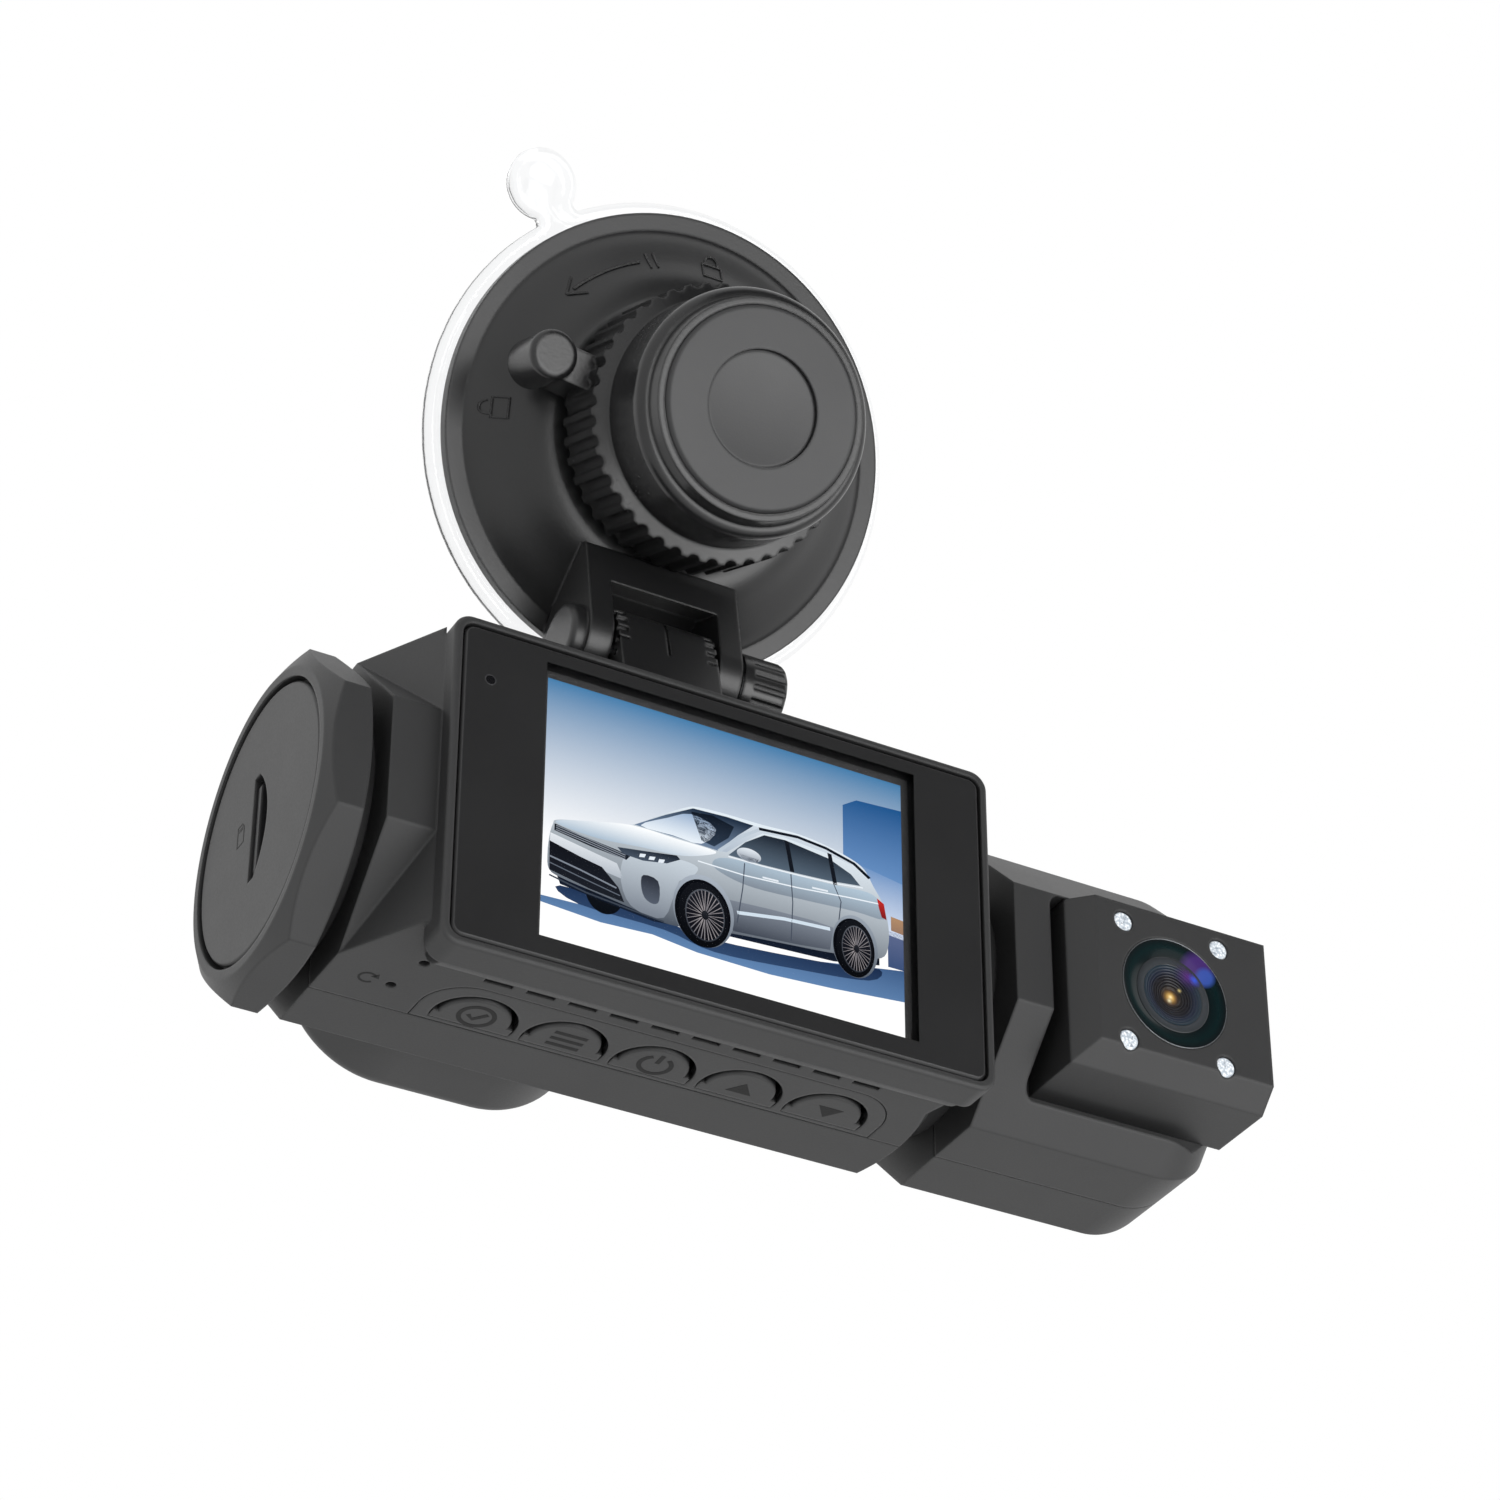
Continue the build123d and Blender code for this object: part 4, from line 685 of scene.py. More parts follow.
class ScreenSettings(bpy.types.PropertyGroup):
    """The screen's lit area and its cover glass."""

    left: bpy.props.FloatProperty(
        name="Left edge", description="Left edge of the lit area", default=-0.0198, unit="LENGTH", precision=5
    )
    right: bpy.props.FloatProperty(
        name="Right edge",
        description="Right edge of the lit area",
        default=0.02106,
        unit="LENGTH",
        precision=5,
    )
    low: bpy.props.FloatProperty(
        name="Low edge", description="Low edge of the lit area", default=-0.07844, unit="LENGTH", precision=5
    )
    high: bpy.props.FloatProperty(
        name="High edge",
        description="High edge of the lit area",
        default=-0.04793,
        unit="LENGTH",
        precision=5,
    )
    window_margin: bpy.props.FloatProperty(
        name="Window margin",
        description="How far the clear window reaches beyond the picture",
        default=0.0008,
        unit="LENGTH",
        precision=5,
    )
    brightness: bpy.props.FloatProperty(
        name="Brightness", description="Brightness of the picture", default=1.03, min=0, soft_max=4
    )
    window_haze: bpy.props.FloatProperty(
        name="Window haze", description="How much the clear window hides", default=0.02, min=0, max=1
    )
    glass_rough: bpy.props.FloatProperty(
        name="Glass roughness", description="Roughness of the printed border", default=0.3, min=0, max=1
    )
    glass_dark: bpy.props.FloatVectorProperty(
        name="Border dark",
        description="Darker tone of the printed border",
        default=(0.008, 0.008, 0.0085, 1),
        size=4,
        min=0,
        max=1,
        subtype="COLOR",
    )
    glass_light: bpy.props.FloatVectorProperty(
        name="Border light",
        description="Lighter tone of the printed border",
        default=(0.0105, 0.0105, 0.011, 1),
        size=4,
        min=0,
        max=1,
        subtype="COLOR",
    )


class MarkSettings(bpy.types.PropertyGroup):
    """The marks on the keys and on the mount."""

    key_mark_width: bpy.props.FloatProperty(
        name="Key mark width", description="Width of a key's mark", default=0.0036, unit="LENGTH", precision=5
    )
    key_line: bpy.props.FloatProperty(
        name="Key mark line",
        description="Line width of the key marks",
        default=0.0005,
        unit="LENGTH",
        precision=6,
    )
    key_colour: bpy.props.FloatVectorProperty(
        name="Key mark colour",
        description="Tone of the engraved key marks",
        default=(0.0015, 0.0015, 0.0015),
        size=3,
        min=0,
        max=1,
        subtype="COLOR",
    )
    mount_mark_height: bpy.props.FloatProperty(
        name="Mount mark height",
        description="How far the raised marks stand out of the base",
        default=0.00016,
        unit="LENGTH",
        precision=6,
    )


class StageSettings(bpy.types.PropertyGroup):
    """Floor, light and camera."""

    azimuth: bpy.props.FloatProperty(
        name="Azimuth",
        description="Camera's turn round the object",
        default=math.radians(-28.35),
        unit="ROTATION",
    )
    elevation: bpy.props.FloatProperty(
        name="Elevation", description="Camera's height angle", default=math.radians(-34.17), unit="ROTATION"
    )
    roll: bpy.props.FloatProperty(
        name="Roll",
        description="Camera's turn about its own line of sight",
        default=math.radians(0.19),
        unit="ROTATION",
    )
    distance: bpy.props.FloatProperty(
        name="Distance", description="Camera's distance from its aim", default=0.4565, unit="LENGTH"
    )
    aim: bpy.props.FloatVectorProperty(
        name="Aim",
        description="Point that the camera looks at",
        default=(0.00503, -0.01367, -0.0467),
        unit="LENGTH",
    )
    lens: bpy.props.FloatProperty(
        name="Lens", description="Focal length on a 36 mm sensor", default=105.98, min=1
    )
    floor_drop: bpy.props.FloatProperty(
        name="Floor drop",
        description="How far the floor lies below the camera body",
        default=0.62,
        unit="LENGTH",
    )
    key_power: bpy.props.FloatProperty(
        name="Low front light", description="Power of the large light below the front", default=6.4, min=0
    )
    side_power: bpy.props.FloatProperty(
        name="Side light", description="Power of the side light", default=0.3, min=0
    )
    world_light: bpy.props.FloatProperty(
        name="Surround", description="Brightness of the white surround", default=1.0, min=0
    )


# ---------------------------------------------------------------- operators


class DASHCAM_OT_case_finish(bpy.types.Operator):
    """Give the moulded case parts and keys their grained plastic"""

    bl_idname = "dashcam.case_finish"
    bl_label = "Case plastic"

    def execute(self, context):
        settings = context.scene.dashcam_case
        case = plastic("case_plastic", settings.case_colour, 0.5, settings)
        dress(CASE_NODES, case)
        strip = plastic("key_strip_plastic", settings.case_colour, 0.46, settings, grain=1.4)
        dress(["keypad_strip", *(f"button_{name}" for name in KEY_NAMES)], strip)
        return {"FINISHED"}


class DASHCAM_OT_mount_finish(bpy.types.Operator):
    """Give the suction mount's moulded parts their satin black plastic"""

    bl_idname = "dashcam.mount_finish"
    bl_label = "Mount plastic"

    def execute(self, context):
        settings = context.scene.dashcam_case
        satin = plastic("mount_satin", settings.mount_colour, 0.34, settings, grain=1.2)
        dress(["mount_base", "bracket"], satin)
        glossy = plastic("knob_gloss", settings.mount_colour, 0.24, settings, grain=1.6, edge_light=0.6)
        dress(["lock_knob", "thumb_knob"], glossy)
        # Satin finish, and painted light: the knob's face gets the mount colour lightened 2.1 times, a lit
        # copy of the mount plastic.
        face = plastic("knob_face_lit_satin", [c * 2.1 for c in settings.mount_colour], 0.42, settings, grain=0.8)
        dress(["knob_cap", "knob_inset"], face)
        dress(["speaker"], plastic("speaker_plastic", (0.012, 0.012, 0.013), 0.5, settings))
        return {"FINISHED"}


class DASHCAM_OT_metal_finish(bpy.types.Operator):
    """Give screws, nuts, washers, cans and sockets their plated metal"""

    bl_idname = "dashcam.metal_finish"
    bl_label = "Metal parts"

    def execute(self, context):
        steel = metal("plated_steel", (0.56, 0.57, 0.59), 0.3)
        dress(
            ["stud_washer", "stud_screw", "bracket_screws", "shell_screws", "cabin_screws", "clamp_washer"],
            steel,
        )
        turned = metal("turned_steel", (0.52, 0.53, 0.55), 0.26, drawn=(6, 1, 1))
        dress(["pull_stud", "clamp_bolt", "hinge_nut", "swivel_ring"], turned)
        sheet = metal("tinned_sheet", (0.66, 0.66, 0.67), 0.32, drawn=(1, 1, 5))
        dress(["usb_socket", "card_socket", "microphone", "button_switches"], sheet)
        dress(["drive_nut"], metal("turned_brass", (0.78, 0.56, 0.27), 0.28, drawn=(1, 6, 1)))
        return {"FINISHED"}


class DASHCAM_OT_inner_finish(bpy.types.Operator):
    """Give boards, chips, cell, display panel and card their finishes"""

    bl_idname = "dashcam.inner_finish"
    bl_label = "Inner parts"

    def execute(self, context):
        settings = context.scene.dashcam_case
        dress(["main_board", "button_board", "ir_board"], circuit("circuit_board"))
        dress(["board_chips", "front_sensor", "cabin_sensor"], chip_black("chip_package"))
        dress(["memory_card"], plastic("card_plastic", (0.014, 0.014, 0.015), 0.4, settings, grain=0.7))
        dress(["backup_battery"], shrink_wrap("battery_wrap"))
        # Painted light: the panel's border colour is lightened to make up for the shade the glass's edges
        # cast on it.
        dress(["lcd_panel"], plastic("panel_frame_lightened", (0.042, 0.042, 0.043), 0.32, settings, grain=0.6))
        barrel = plastic("barrel_black", (0.006, 0.006, 0.007), 0.3, settings, grain=0.8, coat=0.2)
        dress(["front_barrel", "cabin_barrel", "front_ring"], barrel)
        return {"FINISHED"}


class DASHCAM_OT_clear_cup(bpy.types.Operator):
    """Build the clear suction cup with its rolled rim and pull tab"""

    bl_idname = "dashcam.clear_cup"
    bl_label = "Clear cup"

    def outline(self, settings):
        """The cup's edge, anticlockwise from the tab's neck: the round, a fillet, the tab's round end."""
        radius, tip = settings.radius / MM, settings.tab_reach / MM
        end, neck = settings.tab_width / MM / 2, settings.neck_width / MM / 2
        middle = tip - end
        fillet = 0.35
        start = math.degrees(math.asin((neck + fillet) / radius))
        points = ring_points(radius, 240, start, 360 - 2 * start)
        open_half = 180 - math.degrees(math.asin((neck + fillet * 0.5) / end))
        low_corner = points[-1]
        head = ring_points(end, 56, -open_half, 2 * open_half, (middle, 0))
        waist = (low_corner[0] + head[0][0]) / 2
        for first, last, side in ((low_corner, head[0], -1), (head[-1], points[0], 1)):
            bend = []
            for i in range(1, 7):
                t = i / 7
                mid = (waist, side * neck)
                bend.append(
                    tuple(
                        (1 - t) ** 2 * a + 2 * t * (1 - t) * b + t * t * c
                        for a, b, c in zip(first, mid, last)
                    )
                )
            points += bend
            if side < 0:
                points += head
        turn = settings.tab_angle
        cos, sin = math.cos(turn), math.sin(turn)
        return [(x * cos - y * sin, x * sin + y * cos) for x, y in points]

    def execute(self, context):
        settings = context.scene.dashcam_cup
        rim = settings.rim_height / MM
        base = 0.12
        top = 0.62 * rim
        profile = (
            (1.9, base),
            (0.7, 0.0),
            (0.16, 0.22),
            (0.0, 0.3 * rim),
            (0.06, 0.62 * rim),
            (0.35, 0.9 * rim),
            (0.8, rim),
            (1.35, 0.86 * rim),
            (1.9, top),
        )
        edge = self.outline(settings)
        count = len(edge)
        cup = Solid()
        rings = []
        for inset, height in profile:
            ring = []
            for i, (x, y) in enumerate(edge):
                before, after = edge[i - 1], edge[(i + 1) % count]
                dx, dy = after[0] - before[0], after[1] - before[1]
                length = math.hypot(dx, dy)
                ring.append(PAD.at(x - inset * dy / length, y + inset * dx / length, height))
            rings.append(cup.points(ring))
        cup.skin(rings)
        hole = ring_points(settings.hole_radius / MM, 96)
        low_hole = cup.points([PAD.at(x, y, base) for x, y in hole])
        high_hole = cup.points([PAD.at(x, y, top) for x, y in hole])
        cup.sheet(rings[0], low_hole)
        cup.sheet(rings[-1], high_hole)
        cup.skin([low_hole, high_hole])
        finish = clear_cup_material("clear_polyurethane", settings.colour)
        cup.piece("clear_cup", "mount", "clear_tpu", finish, 60, ("suction_pad",))
        return {"FINISHED"}


class DASHCAM_OT_mount_marks(bpy.types.Operator):
    """Raise the turning arrow and the two lock marks out of the base"""

    bl_idname = "dashcam.mount_marks"
    bl_label = "Mount marks"

    reach = 20.2
    root = -0.1

    def start(self, context):
        """Readies the height of the base's surface over a point of the pad's plane, in millimetres."""
        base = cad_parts["mount_base"].data
        tree = BVHTree.FromPolygons([v.co for v in base.vertices], [p.vertices for p in base.polygons])

        def on_base(x, y):
            hit = tree.ray_cast(PAD.at(x, y, 60), -PAD.out)
            if hit[0] is None:
                raise RuntimeError("a mount mark lies off the base")
            return (hit[0] - PAD.origin).dot(PAD.out) / MM

        return on_base, context.scene.dashcam_marks.mount_mark_height / MM

    def padlock(self, raise_line, angle, reach, open_side):
        """A small padlock drawn about a point of the base, upright along the radius."""
        turn = math.radians(angle)
        out = (math.cos(turn), math.sin(turn))
        side = (-out[1], out[0])

        def spot(across, up):
            x = reach * out[0] + side[0] * across + out[0] * up
            y = reach * out[1] + side[1] * across + out[1] * up
            return x, y

        box = [(-1.15, -1.3), (1.15, -1.3), (1.15, 0.3), (-1.15, 0.3)]
        raise_line([spot(*p) for p in box], 0.24, closed=True)
        bow = [(0.75 * math.cos(t), 0.75 + 0.75 * math.sin(t)) for t in [math.pi * i / 10 for i in range(11)]]
        bow = [(0.75, 0.35), *bow]
        if not open_side:
            bow.append((-0.75, 0.35))
        raise_line([spot(*p) for p in bow], 0.22)

    def execute(self, context):
        on_base, height = self.start(context)
        marks = Solid()

        def raise_line(points, width, closed=False):
            marks.band(PAD, points, width, self.root, height, closed, on_base)

        raise_line(ring_points(self.reach, 24, 116, 25), 0.28)
        tip = ring_points(self.reach, 2, 144, 1)[0]
        for swing in (-1.15, 1.15):
            barb = ring_points(self.reach + swing, 2, 138.5, 1)[0]
            steps = [
                (barb[0] + (tip[0] - barb[0]) * k / 5, barb[1] + (tip[1] - barb[1]) * k / 5) for k in range(6)
            ]
            raise_line(steps, 0.26)
        for angle in (110.5, 113):
            bar = [ring_points(self.reach + r, 2, angle, 1)[0] for r in (-0.9, -0.3, 0.3, 0.9)]
            raise_line(bar, 0.24)
        self.padlock(raise_line, 91, self.reach, open_side=False)
        self.padlock(raise_line, 187, self.reach + 1.2, open_side=True)
        finish = bpy.data.materials["knob_gloss"]
        marks.piece("mount_marks", "mount", "black_plastic", finish)
        return {"FINISHED"}


class Picture:
    """The display's drawing: flat shapes in shares of the lit area, each layer in front of the last."""

    def __init__(self, settings):
        self.left, self.right = settings.left, settings.right
        self.low, self.high = settings.low, settings.high
        self.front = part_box("lcd_panel")[0].y
        self.layer = 0
        self.mesh = bmesh.new()
        self.colours = self.mesh.verts.layers.float_color.new("picture")

    def next(self):
        self.layer += 1

    def spot(self, u, v):
        u, v = min(max(u, 0), 1), min(max(v, 0), 1)
        x = self.left + (self.right - self.left) * u
        z = self.high - (self.high - self.low) * v
        return Vector((x, self.front - 0.000004 - 0.000006 * self.layer, z))

    def shape(self, outline, top, bottom=None, across=False, bands=10):
        """A filled outline, shaded from one colour to another down it, or along it."""
        piece = bmesh.new()
        corners = [piece.verts.new((u, 0, v)) for u, v in outline]
        piece.faces.new(corners)
        axis = 0 if across else 2
        low = min(c.co[axis] for c in corners)
        high = max(c.co[axis] for c in corners)
        bmesh.ops.triangulate(piece, faces=piece.faces)
        if bottom is not None:
            normal = [0, 0, 0]
            normal[axis] = 1
            for i in range(1, bands):
                level = [0, 0, 0]
                level[axis] = low + (high - low) * i / bands
                geometry = piece.verts[:] + piece.edges[:] + piece.faces[:]
                bmesh.ops.bisect_plane(piece, geom=geometry, plane_co=level, plane_no=normal)
        first, last = linear(*top), linear(*(bottom or top))
        made = {}
        for vertex in piece.verts:
            share = (vertex.co[axis] - low) / max(high - low, 1e-9)
            copy = self.mesh.verts.new(self.spot(vertex.co.x, vertex.co.z))
            copy[self.colours] = [a + (b - a) * share for a, b in zip(first, last)]
            made[vertex] = copy
        for face in piece.faces:
            corners = [made[v] for v in face.verts]
            placed = self.mesh.faces.new(corners)
            placed.normal_update()
            if placed.normal.y > 0:
                placed.normal_flip()
        piece.free()

    def curve(self, points, steps=5):
        """A smooth closed line through the points."""
        out = []
        count = len(points)
        for i in range(count):
            a, b, c, d = (points[(i + k - 1) % count] for k in range(4))
            for s in range(steps):
                t = s / steps
                line = []
                for p, q, r, w in zip(a, b, c, d):
                    bend = 2 * q + (r - p) * t + (2 * p - 5 * q + 4 * r - w) * t * t
                    line.append(0.5 * (bend + (3 * q - p - 3 * r + w) * t**3))
                out.append(tuple(line))
        return out

    def line(self, points, width, colour, end=None):
        left, right = stroke(points, width)
        self.shape(left + right[::-1], colour, end, across=True, bands=4)

    def oval(self, u, v, ru, rv, colour, end=None, count=40):
        points = []
        for i in range(count):
            turn = 2 * math.pi * i / count
            points.append((u + ru * math.cos(turn), v + rv * math.sin(turn)))
        self.shape(points, colour, end, bands=6)


def draw_wheel(picture, u, v, ru, rv, spokes):
    """A tyre with a dark rim and bright paired spokes, seen a little from the side."""
    picture.oval(u, v, ru, rv, (19, 21, 27), (8, 10, 14))
    picture.next()
    hub = u + 0.004
    picture.oval(hub, v, ru * 0.79, rv * 0.81, (84, 88, 96), (46, 50, 58))
    picture.next()
    picture.oval(hub, v, ru * 0.74, rv * 0.765, (26, 28, 36), (12, 14, 20))
    picture.next()
    for i in range(spokes):
        turn = 2 * math.pi * i / spokes
        for lean in (-0.1, 0.1):
            near = (hub + ru * 0.14 * math.cos(turn), v + rv * 0.14 * math.sin(turn))
            far = (hub + ru * 0.75 * math.cos(turn + lean), v + rv * 0.77 * math.sin(turn + lean))
            picture.line([near, far], ru * 0.034, (112, 110, 116), (158, 152, 154))
    picture.next()
    picture.oval(hub, v, ru * 0.13, rv * 0.13, (36, 38, 44), (20, 22, 28), count=16)


SKY_TOP = (70, 125, 170)
WHITE = (255, 255, 255)
SKY_BANDS = 14
HORIZON = 0.65


def draw_backdrop(picture):
    """Sky that pales towards the ground, a blue building side, and the ground's shadow."""
    picture.shape([(0, 0), (1, 0), (1, HORIZON), (0, HORIZON)], SKY_TOP, WHITE, bands=SKY_BANDS)
    picture.shape([(0, HORIZON), (1, HORIZON), (1, 1), (0, 1)], WHITE, WHITE)
    picture.next()
    tower = [(0.83, 0.15), (0.87, 0.115), (1, 0.105), (1, 0.4), (0.83, 0.36)]
    picture.shape(tower, (30, 84, 140), (100, 140, 190))
    picture.shape([(0.83, 0.36), (1, 0.4), (1, 0.62), (0.83, 0.6)], (100, 140, 190), (214, 224, 240))
    picture.shape([(0.955, 0.6), (1, 0.6), (1, 0.74), (0.955, 0.74)], (92, 104, 140), (60, 80, 120))
    ground = [(0.0, 0.845), (0.2, 0.835), (0.4, 0.85), (0.7, 0.81), (1, 0.74), (1, 0.86), (0.8, 0.885)]
    ground += [(0.62, 0.9), (0.42, 0.895), (0.3, 0.875), (0.16, 0.885), (0.0, 0.87)]
    picture.shape(ground, (62, 92, 134), (96, 132, 176))
    picture.next()
    deep = [(0.05, 0.79), (0.3, 0.8), (0.45, 0.83), (0.8, 0.79), (0.93, 0.76), (0.9, 0.815), (0.7, 0.85)]
    deep += [(0.47, 0.875), (0.33, 0.845), (0.1, 0.84)]
    picture.shape(picture.curve(deep, 4), (26, 44, 76), (48, 72, 108))
    picture.shape([(0.965, 0.54), (1, 0.545), (1, 0.6), (0.965, 0.595)], (176, 138, 104), (150, 118, 98))


def draw_car(picture):
    """A plain estate-bodied car with no badge or plate, front three-quarter view facing left."""
    picture.next()
    under = [(0.03, 0.72), (0.93, 0.68), (0.93, 0.745), (0.8, 0.78), (0.5, 0.8), (0.3, 0.825), (0.05, 0.785)]
    picture.shape(under, (12, 16, 24), (22, 32, 50))
    picture.oval(0.168, 0.775, 0.05, 0.075, (20, 24, 32), (10, 14, 20))
    picture.next()
    shell = [
        (0.036, 0.545), (0.1, 0.522), (0.17, 0.5), (0.24, 0.479), (0.32, 0.405), (0.385, 0.35), (0.42, 0.334)
    ]
    shell += [
        (0.5, 0.328), (0.6, 0.328), (0.7, 0.322), (0.78, 0.334), (0.85, 0.357), (0.89, 0.385), (0.915, 0.44)
    ]
    shell += [
        (0.942, 0.5), (0.957, 0.58), (0.956, 0.66), (0.935, 0.715), (0.86, 0.735), (0.78, 0.752),
        (0.65, 0.768),
    ]
    shell += [
        (0.52, 0.785), (0.42, 0.805), (0.345, 0.82), (0.27, 0.805), (0.16, 0.782), (0.06, 0.762),
        (0.02, 0.742),
    ]
    shell += [(0.014, 0.68), (0.018, 0.61), (0.026, 0.565)]
    picture.shape(picture.curve(shell, 4), (226, 236, 244), (74, 82, 94), bands=16)
    picture.next()
    hood = [
        (0.04, 0.545), (0.13, 0.512), (0.24, 0.481), (0.36, 0.483), (0.47, 0.487), (0.43, 0.52),
        (0.365, 0.545),
    ]
    hood += [(0.27, 0.555), (0.15, 0.57), (0.05, 0.562)]
    picture.shape(picture.curve(hood, 4), (252, 254, 255), (168, 188, 206))
    flank = [(0.5, 0.5), (0.66, 0.49), (0.8, 0.482), (0.9, 0.472), (0.935, 0.5), (0.945, 0.56), (0.86, 0.562)]
    flank += [(0.72, 0.575), (0.58, 0.585), (0.5, 0.57), (0.46, 0.54)]
    picture.shape(picture.curve(flank, 4), (176, 196, 212), (128, 138, 150))
    lower = [
        (0.5, 0.66), (0.62, 0.65), (0.74, 0.645), (0.8, 0.65), (0.79, 0.74), (0.7, 0.755), (0.52, 0.775),
        (0.505, 0.72),
    ]
    picture.shape(lower, (126, 134, 146), (62, 68, 80))
    nose = [
        (0.24, 0.58), (0.36, 0.56), (0.42, 0.57), (0.4, 0.62), (0.36, 0.66), (0.33, 0.8), (0.24, 0.79),
        (0.21, 0.68),
    ]
    picture.shape(picture.curve(nose, 4), (198, 208, 217), (120, 128, 140))
    picture.shape([(0.02, 0.6), (0.2, 0.645), (0.22, 0.7), (0.018, 0.66)], (226, 231, 236), (176, 184, 194))
    picture.next()
    draw_glazing(picture)
    draw_front(picture)
    picture.line(
        [(0.42, 0.545), (0.55, 0.548), (0.7, 0.535), (0.84, 0.515), (0.93, 0.505)], 0.005, (232, 239, 245)
    )
    picture.line([(0.53, 0.7), (0.66, 0.672), (0.79, 0.66)], 0.013, (208, 222, 234))
    picture.line([(0.55, 0.5), (0.545, 0.6), (0.53, 0.74)], 0.003, (70, 78, 92))
    picture.line([(0.68, 0.49), (0.685, 0.6), (0.68, 0.75)], 0.003, (70, 78, 92))
    picture.line([(0.8, 0.475), (0.822, 0.54), (0.815, 0.62)], 0.003, (70, 78, 92))
    picture.line([(0.6, 0.535), (0.645, 0.532)], 0.007, (226, 233, 240))
    picture.line([(0.74, 0.518), (0.785, 0.514)], 0.007, (226, 233, 240))
    tail = [(0.925, 0.485), (0.945, 0.5), (0.952, 0.56), (0.938, 0.555), (0.93, 0.52)]
    picture.shape(tail, (196, 44, 40), (120, 26, 30))
    picture.next()
    picture.oval(0.437, 0.732, 0.084, 0.137, (168, 178, 190), (90, 98, 110))
    picture.oval(0.86, 0.7, 0.065, 0.12, (150, 160, 172), (80, 88, 100))
    picture.next()
    picture.oval(0.435, 0.742, 0.077, 0.128, (10, 12, 18), (6, 8, 12))
    picture.oval(0.857, 0.706, 0.059, 0.112, (10, 12, 18), (6, 8, 12))
    picture.next()
    start = picture.layer
    draw_wheel(picture, 0.437, 0.747, 0.069, 0.122, 15)
    picture.layer = start
    draw_wheel(picture, 0.86, 0.708, 0.053, 0.11, 15)


def draw_glazing(picture):
    """Windscreen, side glass, roof edge and mirror."""
    screen = [
        (0.245, 0.476), (0.33, 0.402), (0.405, 0.345), (0.5, 0.339), (0.575, 0.342), (0.53, 0.4),
        (0.475, 0.482),
    ]
    screen += [(0.36, 0.478)]
    picture.shape(screen, (22, 38, 58), (110, 130, 156))
    roof = [
        (0.575, 0.342), (0.64, 0.338), (0.74, 0.342), (0.83, 0.362), (0.87, 0.385), (0.78, 0.365),
        (0.66, 0.352),
    ]
    roof += [(0.6, 0.362), (0.552, 0.414), (0.5, 0.478), (0.475, 0.482), (0.53, 0.4)]
    picture.shape(roof, (206, 216, 226), (176, 188, 202))
    side = [(0.505, 0.487), (0.552, 0.417), (0.605, 0.367), (0.665, 0.362), (0.79, 0.384), (0.852, 0.42)]
    side += [(0.878, 0.455), (0.79, 0.471), (0.69, 0.48), (0.598, 0.486)]
    picture.shape(side, (26, 34, 46), (84, 100, 116))
    picture.next()
    glare = [(0.262, 0.472), (0.335, 0.412), (0.4, 0.37), (0.47, 0.4), (0.43, 0.474), (0.35, 0.474)]
    picture.shape(picture.curve(glare, 3), (150, 174, 204), (232, 240, 247))
    cabin = [
        (0.4, 0.36), (0.46, 0.35), (0.52, 0.37), (0.505, 0.42), (0.465, 0.47), (0.43, 0.462), (0.45, 0.41)
    ]
    picture.shape(cabin, (14, 22, 34), (44, 58, 76))
    for top, bottom in ((0.668, 0.684), (0.79, 0.806)):
        post = [(top - 0.006, 0.362), (top + 0.006, 0.364), (bottom + 0.006, 0.479), (bottom - 0.006, 0.48)]
        picture.shape(post, (20, 24, 32))
    picture.line(
        [(0.59, 0.348), (0.7, 0.335), (0.78, 0.346), (0.86, 0.374), (0.905, 0.415)], 0.011, (16, 22, 32)
    )
    picture.line(
        [(0.505, 0.492), (0.6, 0.491), (0.7, 0.485), (0.8, 0.476), (0.885, 0.46)], 0.005, (232, 238, 244)
    )
    picture.line([(0.478, 0.482), (0.535, 0.405), (0.59, 0.352)], 0.01, (188, 200, 212))
    picture.next()
    picture.oval(0.562, 0.464, 0.034, 0.026, (226, 233, 240), (132, 142, 156))
    picture.shape([(0.535, 0.468), (0.59, 0.47), (0.585, 0.484), (0.545, 0.486)], (60, 68, 82))


def draw_front(picture):
    """Lamps, grille and air intakes."""
    grille = [
        (0.03, 0.562), (0.1, 0.578), (0.2, 0.594), (0.235, 0.604), (0.225, 0.622), (0.13, 0.61), (0.03, 0.588)
    ]
    picture.shape(grille, (14, 18, 26), (30, 36, 46))
    lamp = [
        (0.2, 0.582), (0.28, 0.566), (0.362, 0.548), (0.372, 0.56), (0.335, 0.59), (0.27, 0.606),
        (0.215, 0.602),
    ]
    picture.shape(lamp, (20, 26, 36), (70, 82, 98))
    intake = [
        (0.018, 0.632), (0.1, 0.66), (0.16, 0.676), (0.205, 0.735), (0.222, 0.786), (0.13, 0.772),
        (0.02, 0.742),
    ]
    picture.shape(intake, (18, 20, 27), (28, 32, 40))
    vent = [(0.272, 0.66), (0.312, 0.668), (0.316, 0.74), (0.3, 0.76), (0.276, 0.745), (0.266, 0.7)]
    picture.shape(picture.curve(vent, 3), (38, 42, 52), (84, 92, 106))
    picture.next()
    for i in range(3):
        rise = 0.568 + 0.008 * i
        picture.line([(0.034, rise), (0.12, rise + 0.016), (0.222, rise + 0.037)], 0.0028, (150, 158, 170))
    for i in range(3):
        u = 0.262 + 0.026 * i
        picture.shape(
            [(u, 0.582), (u + 0.016, 0.578), (u + 0.012, 0.592), (u - 0.003, 0.596)], (228, 236, 244)
        )
    picture.line([(0.02, 0.69), (0.1, 0.71), (0.2, 0.74)], 0.006, (128, 136, 148))
    picture.line([(0.02, 0.715), (0.1, 0.737), (0.21, 0.765)], 0.004, (96, 104, 116))
    picture.line([(0.02, 0.762), (0.12, 0.79), (0.24, 0.806), (0.33, 0.816)], 0.006, (60, 68, 80))


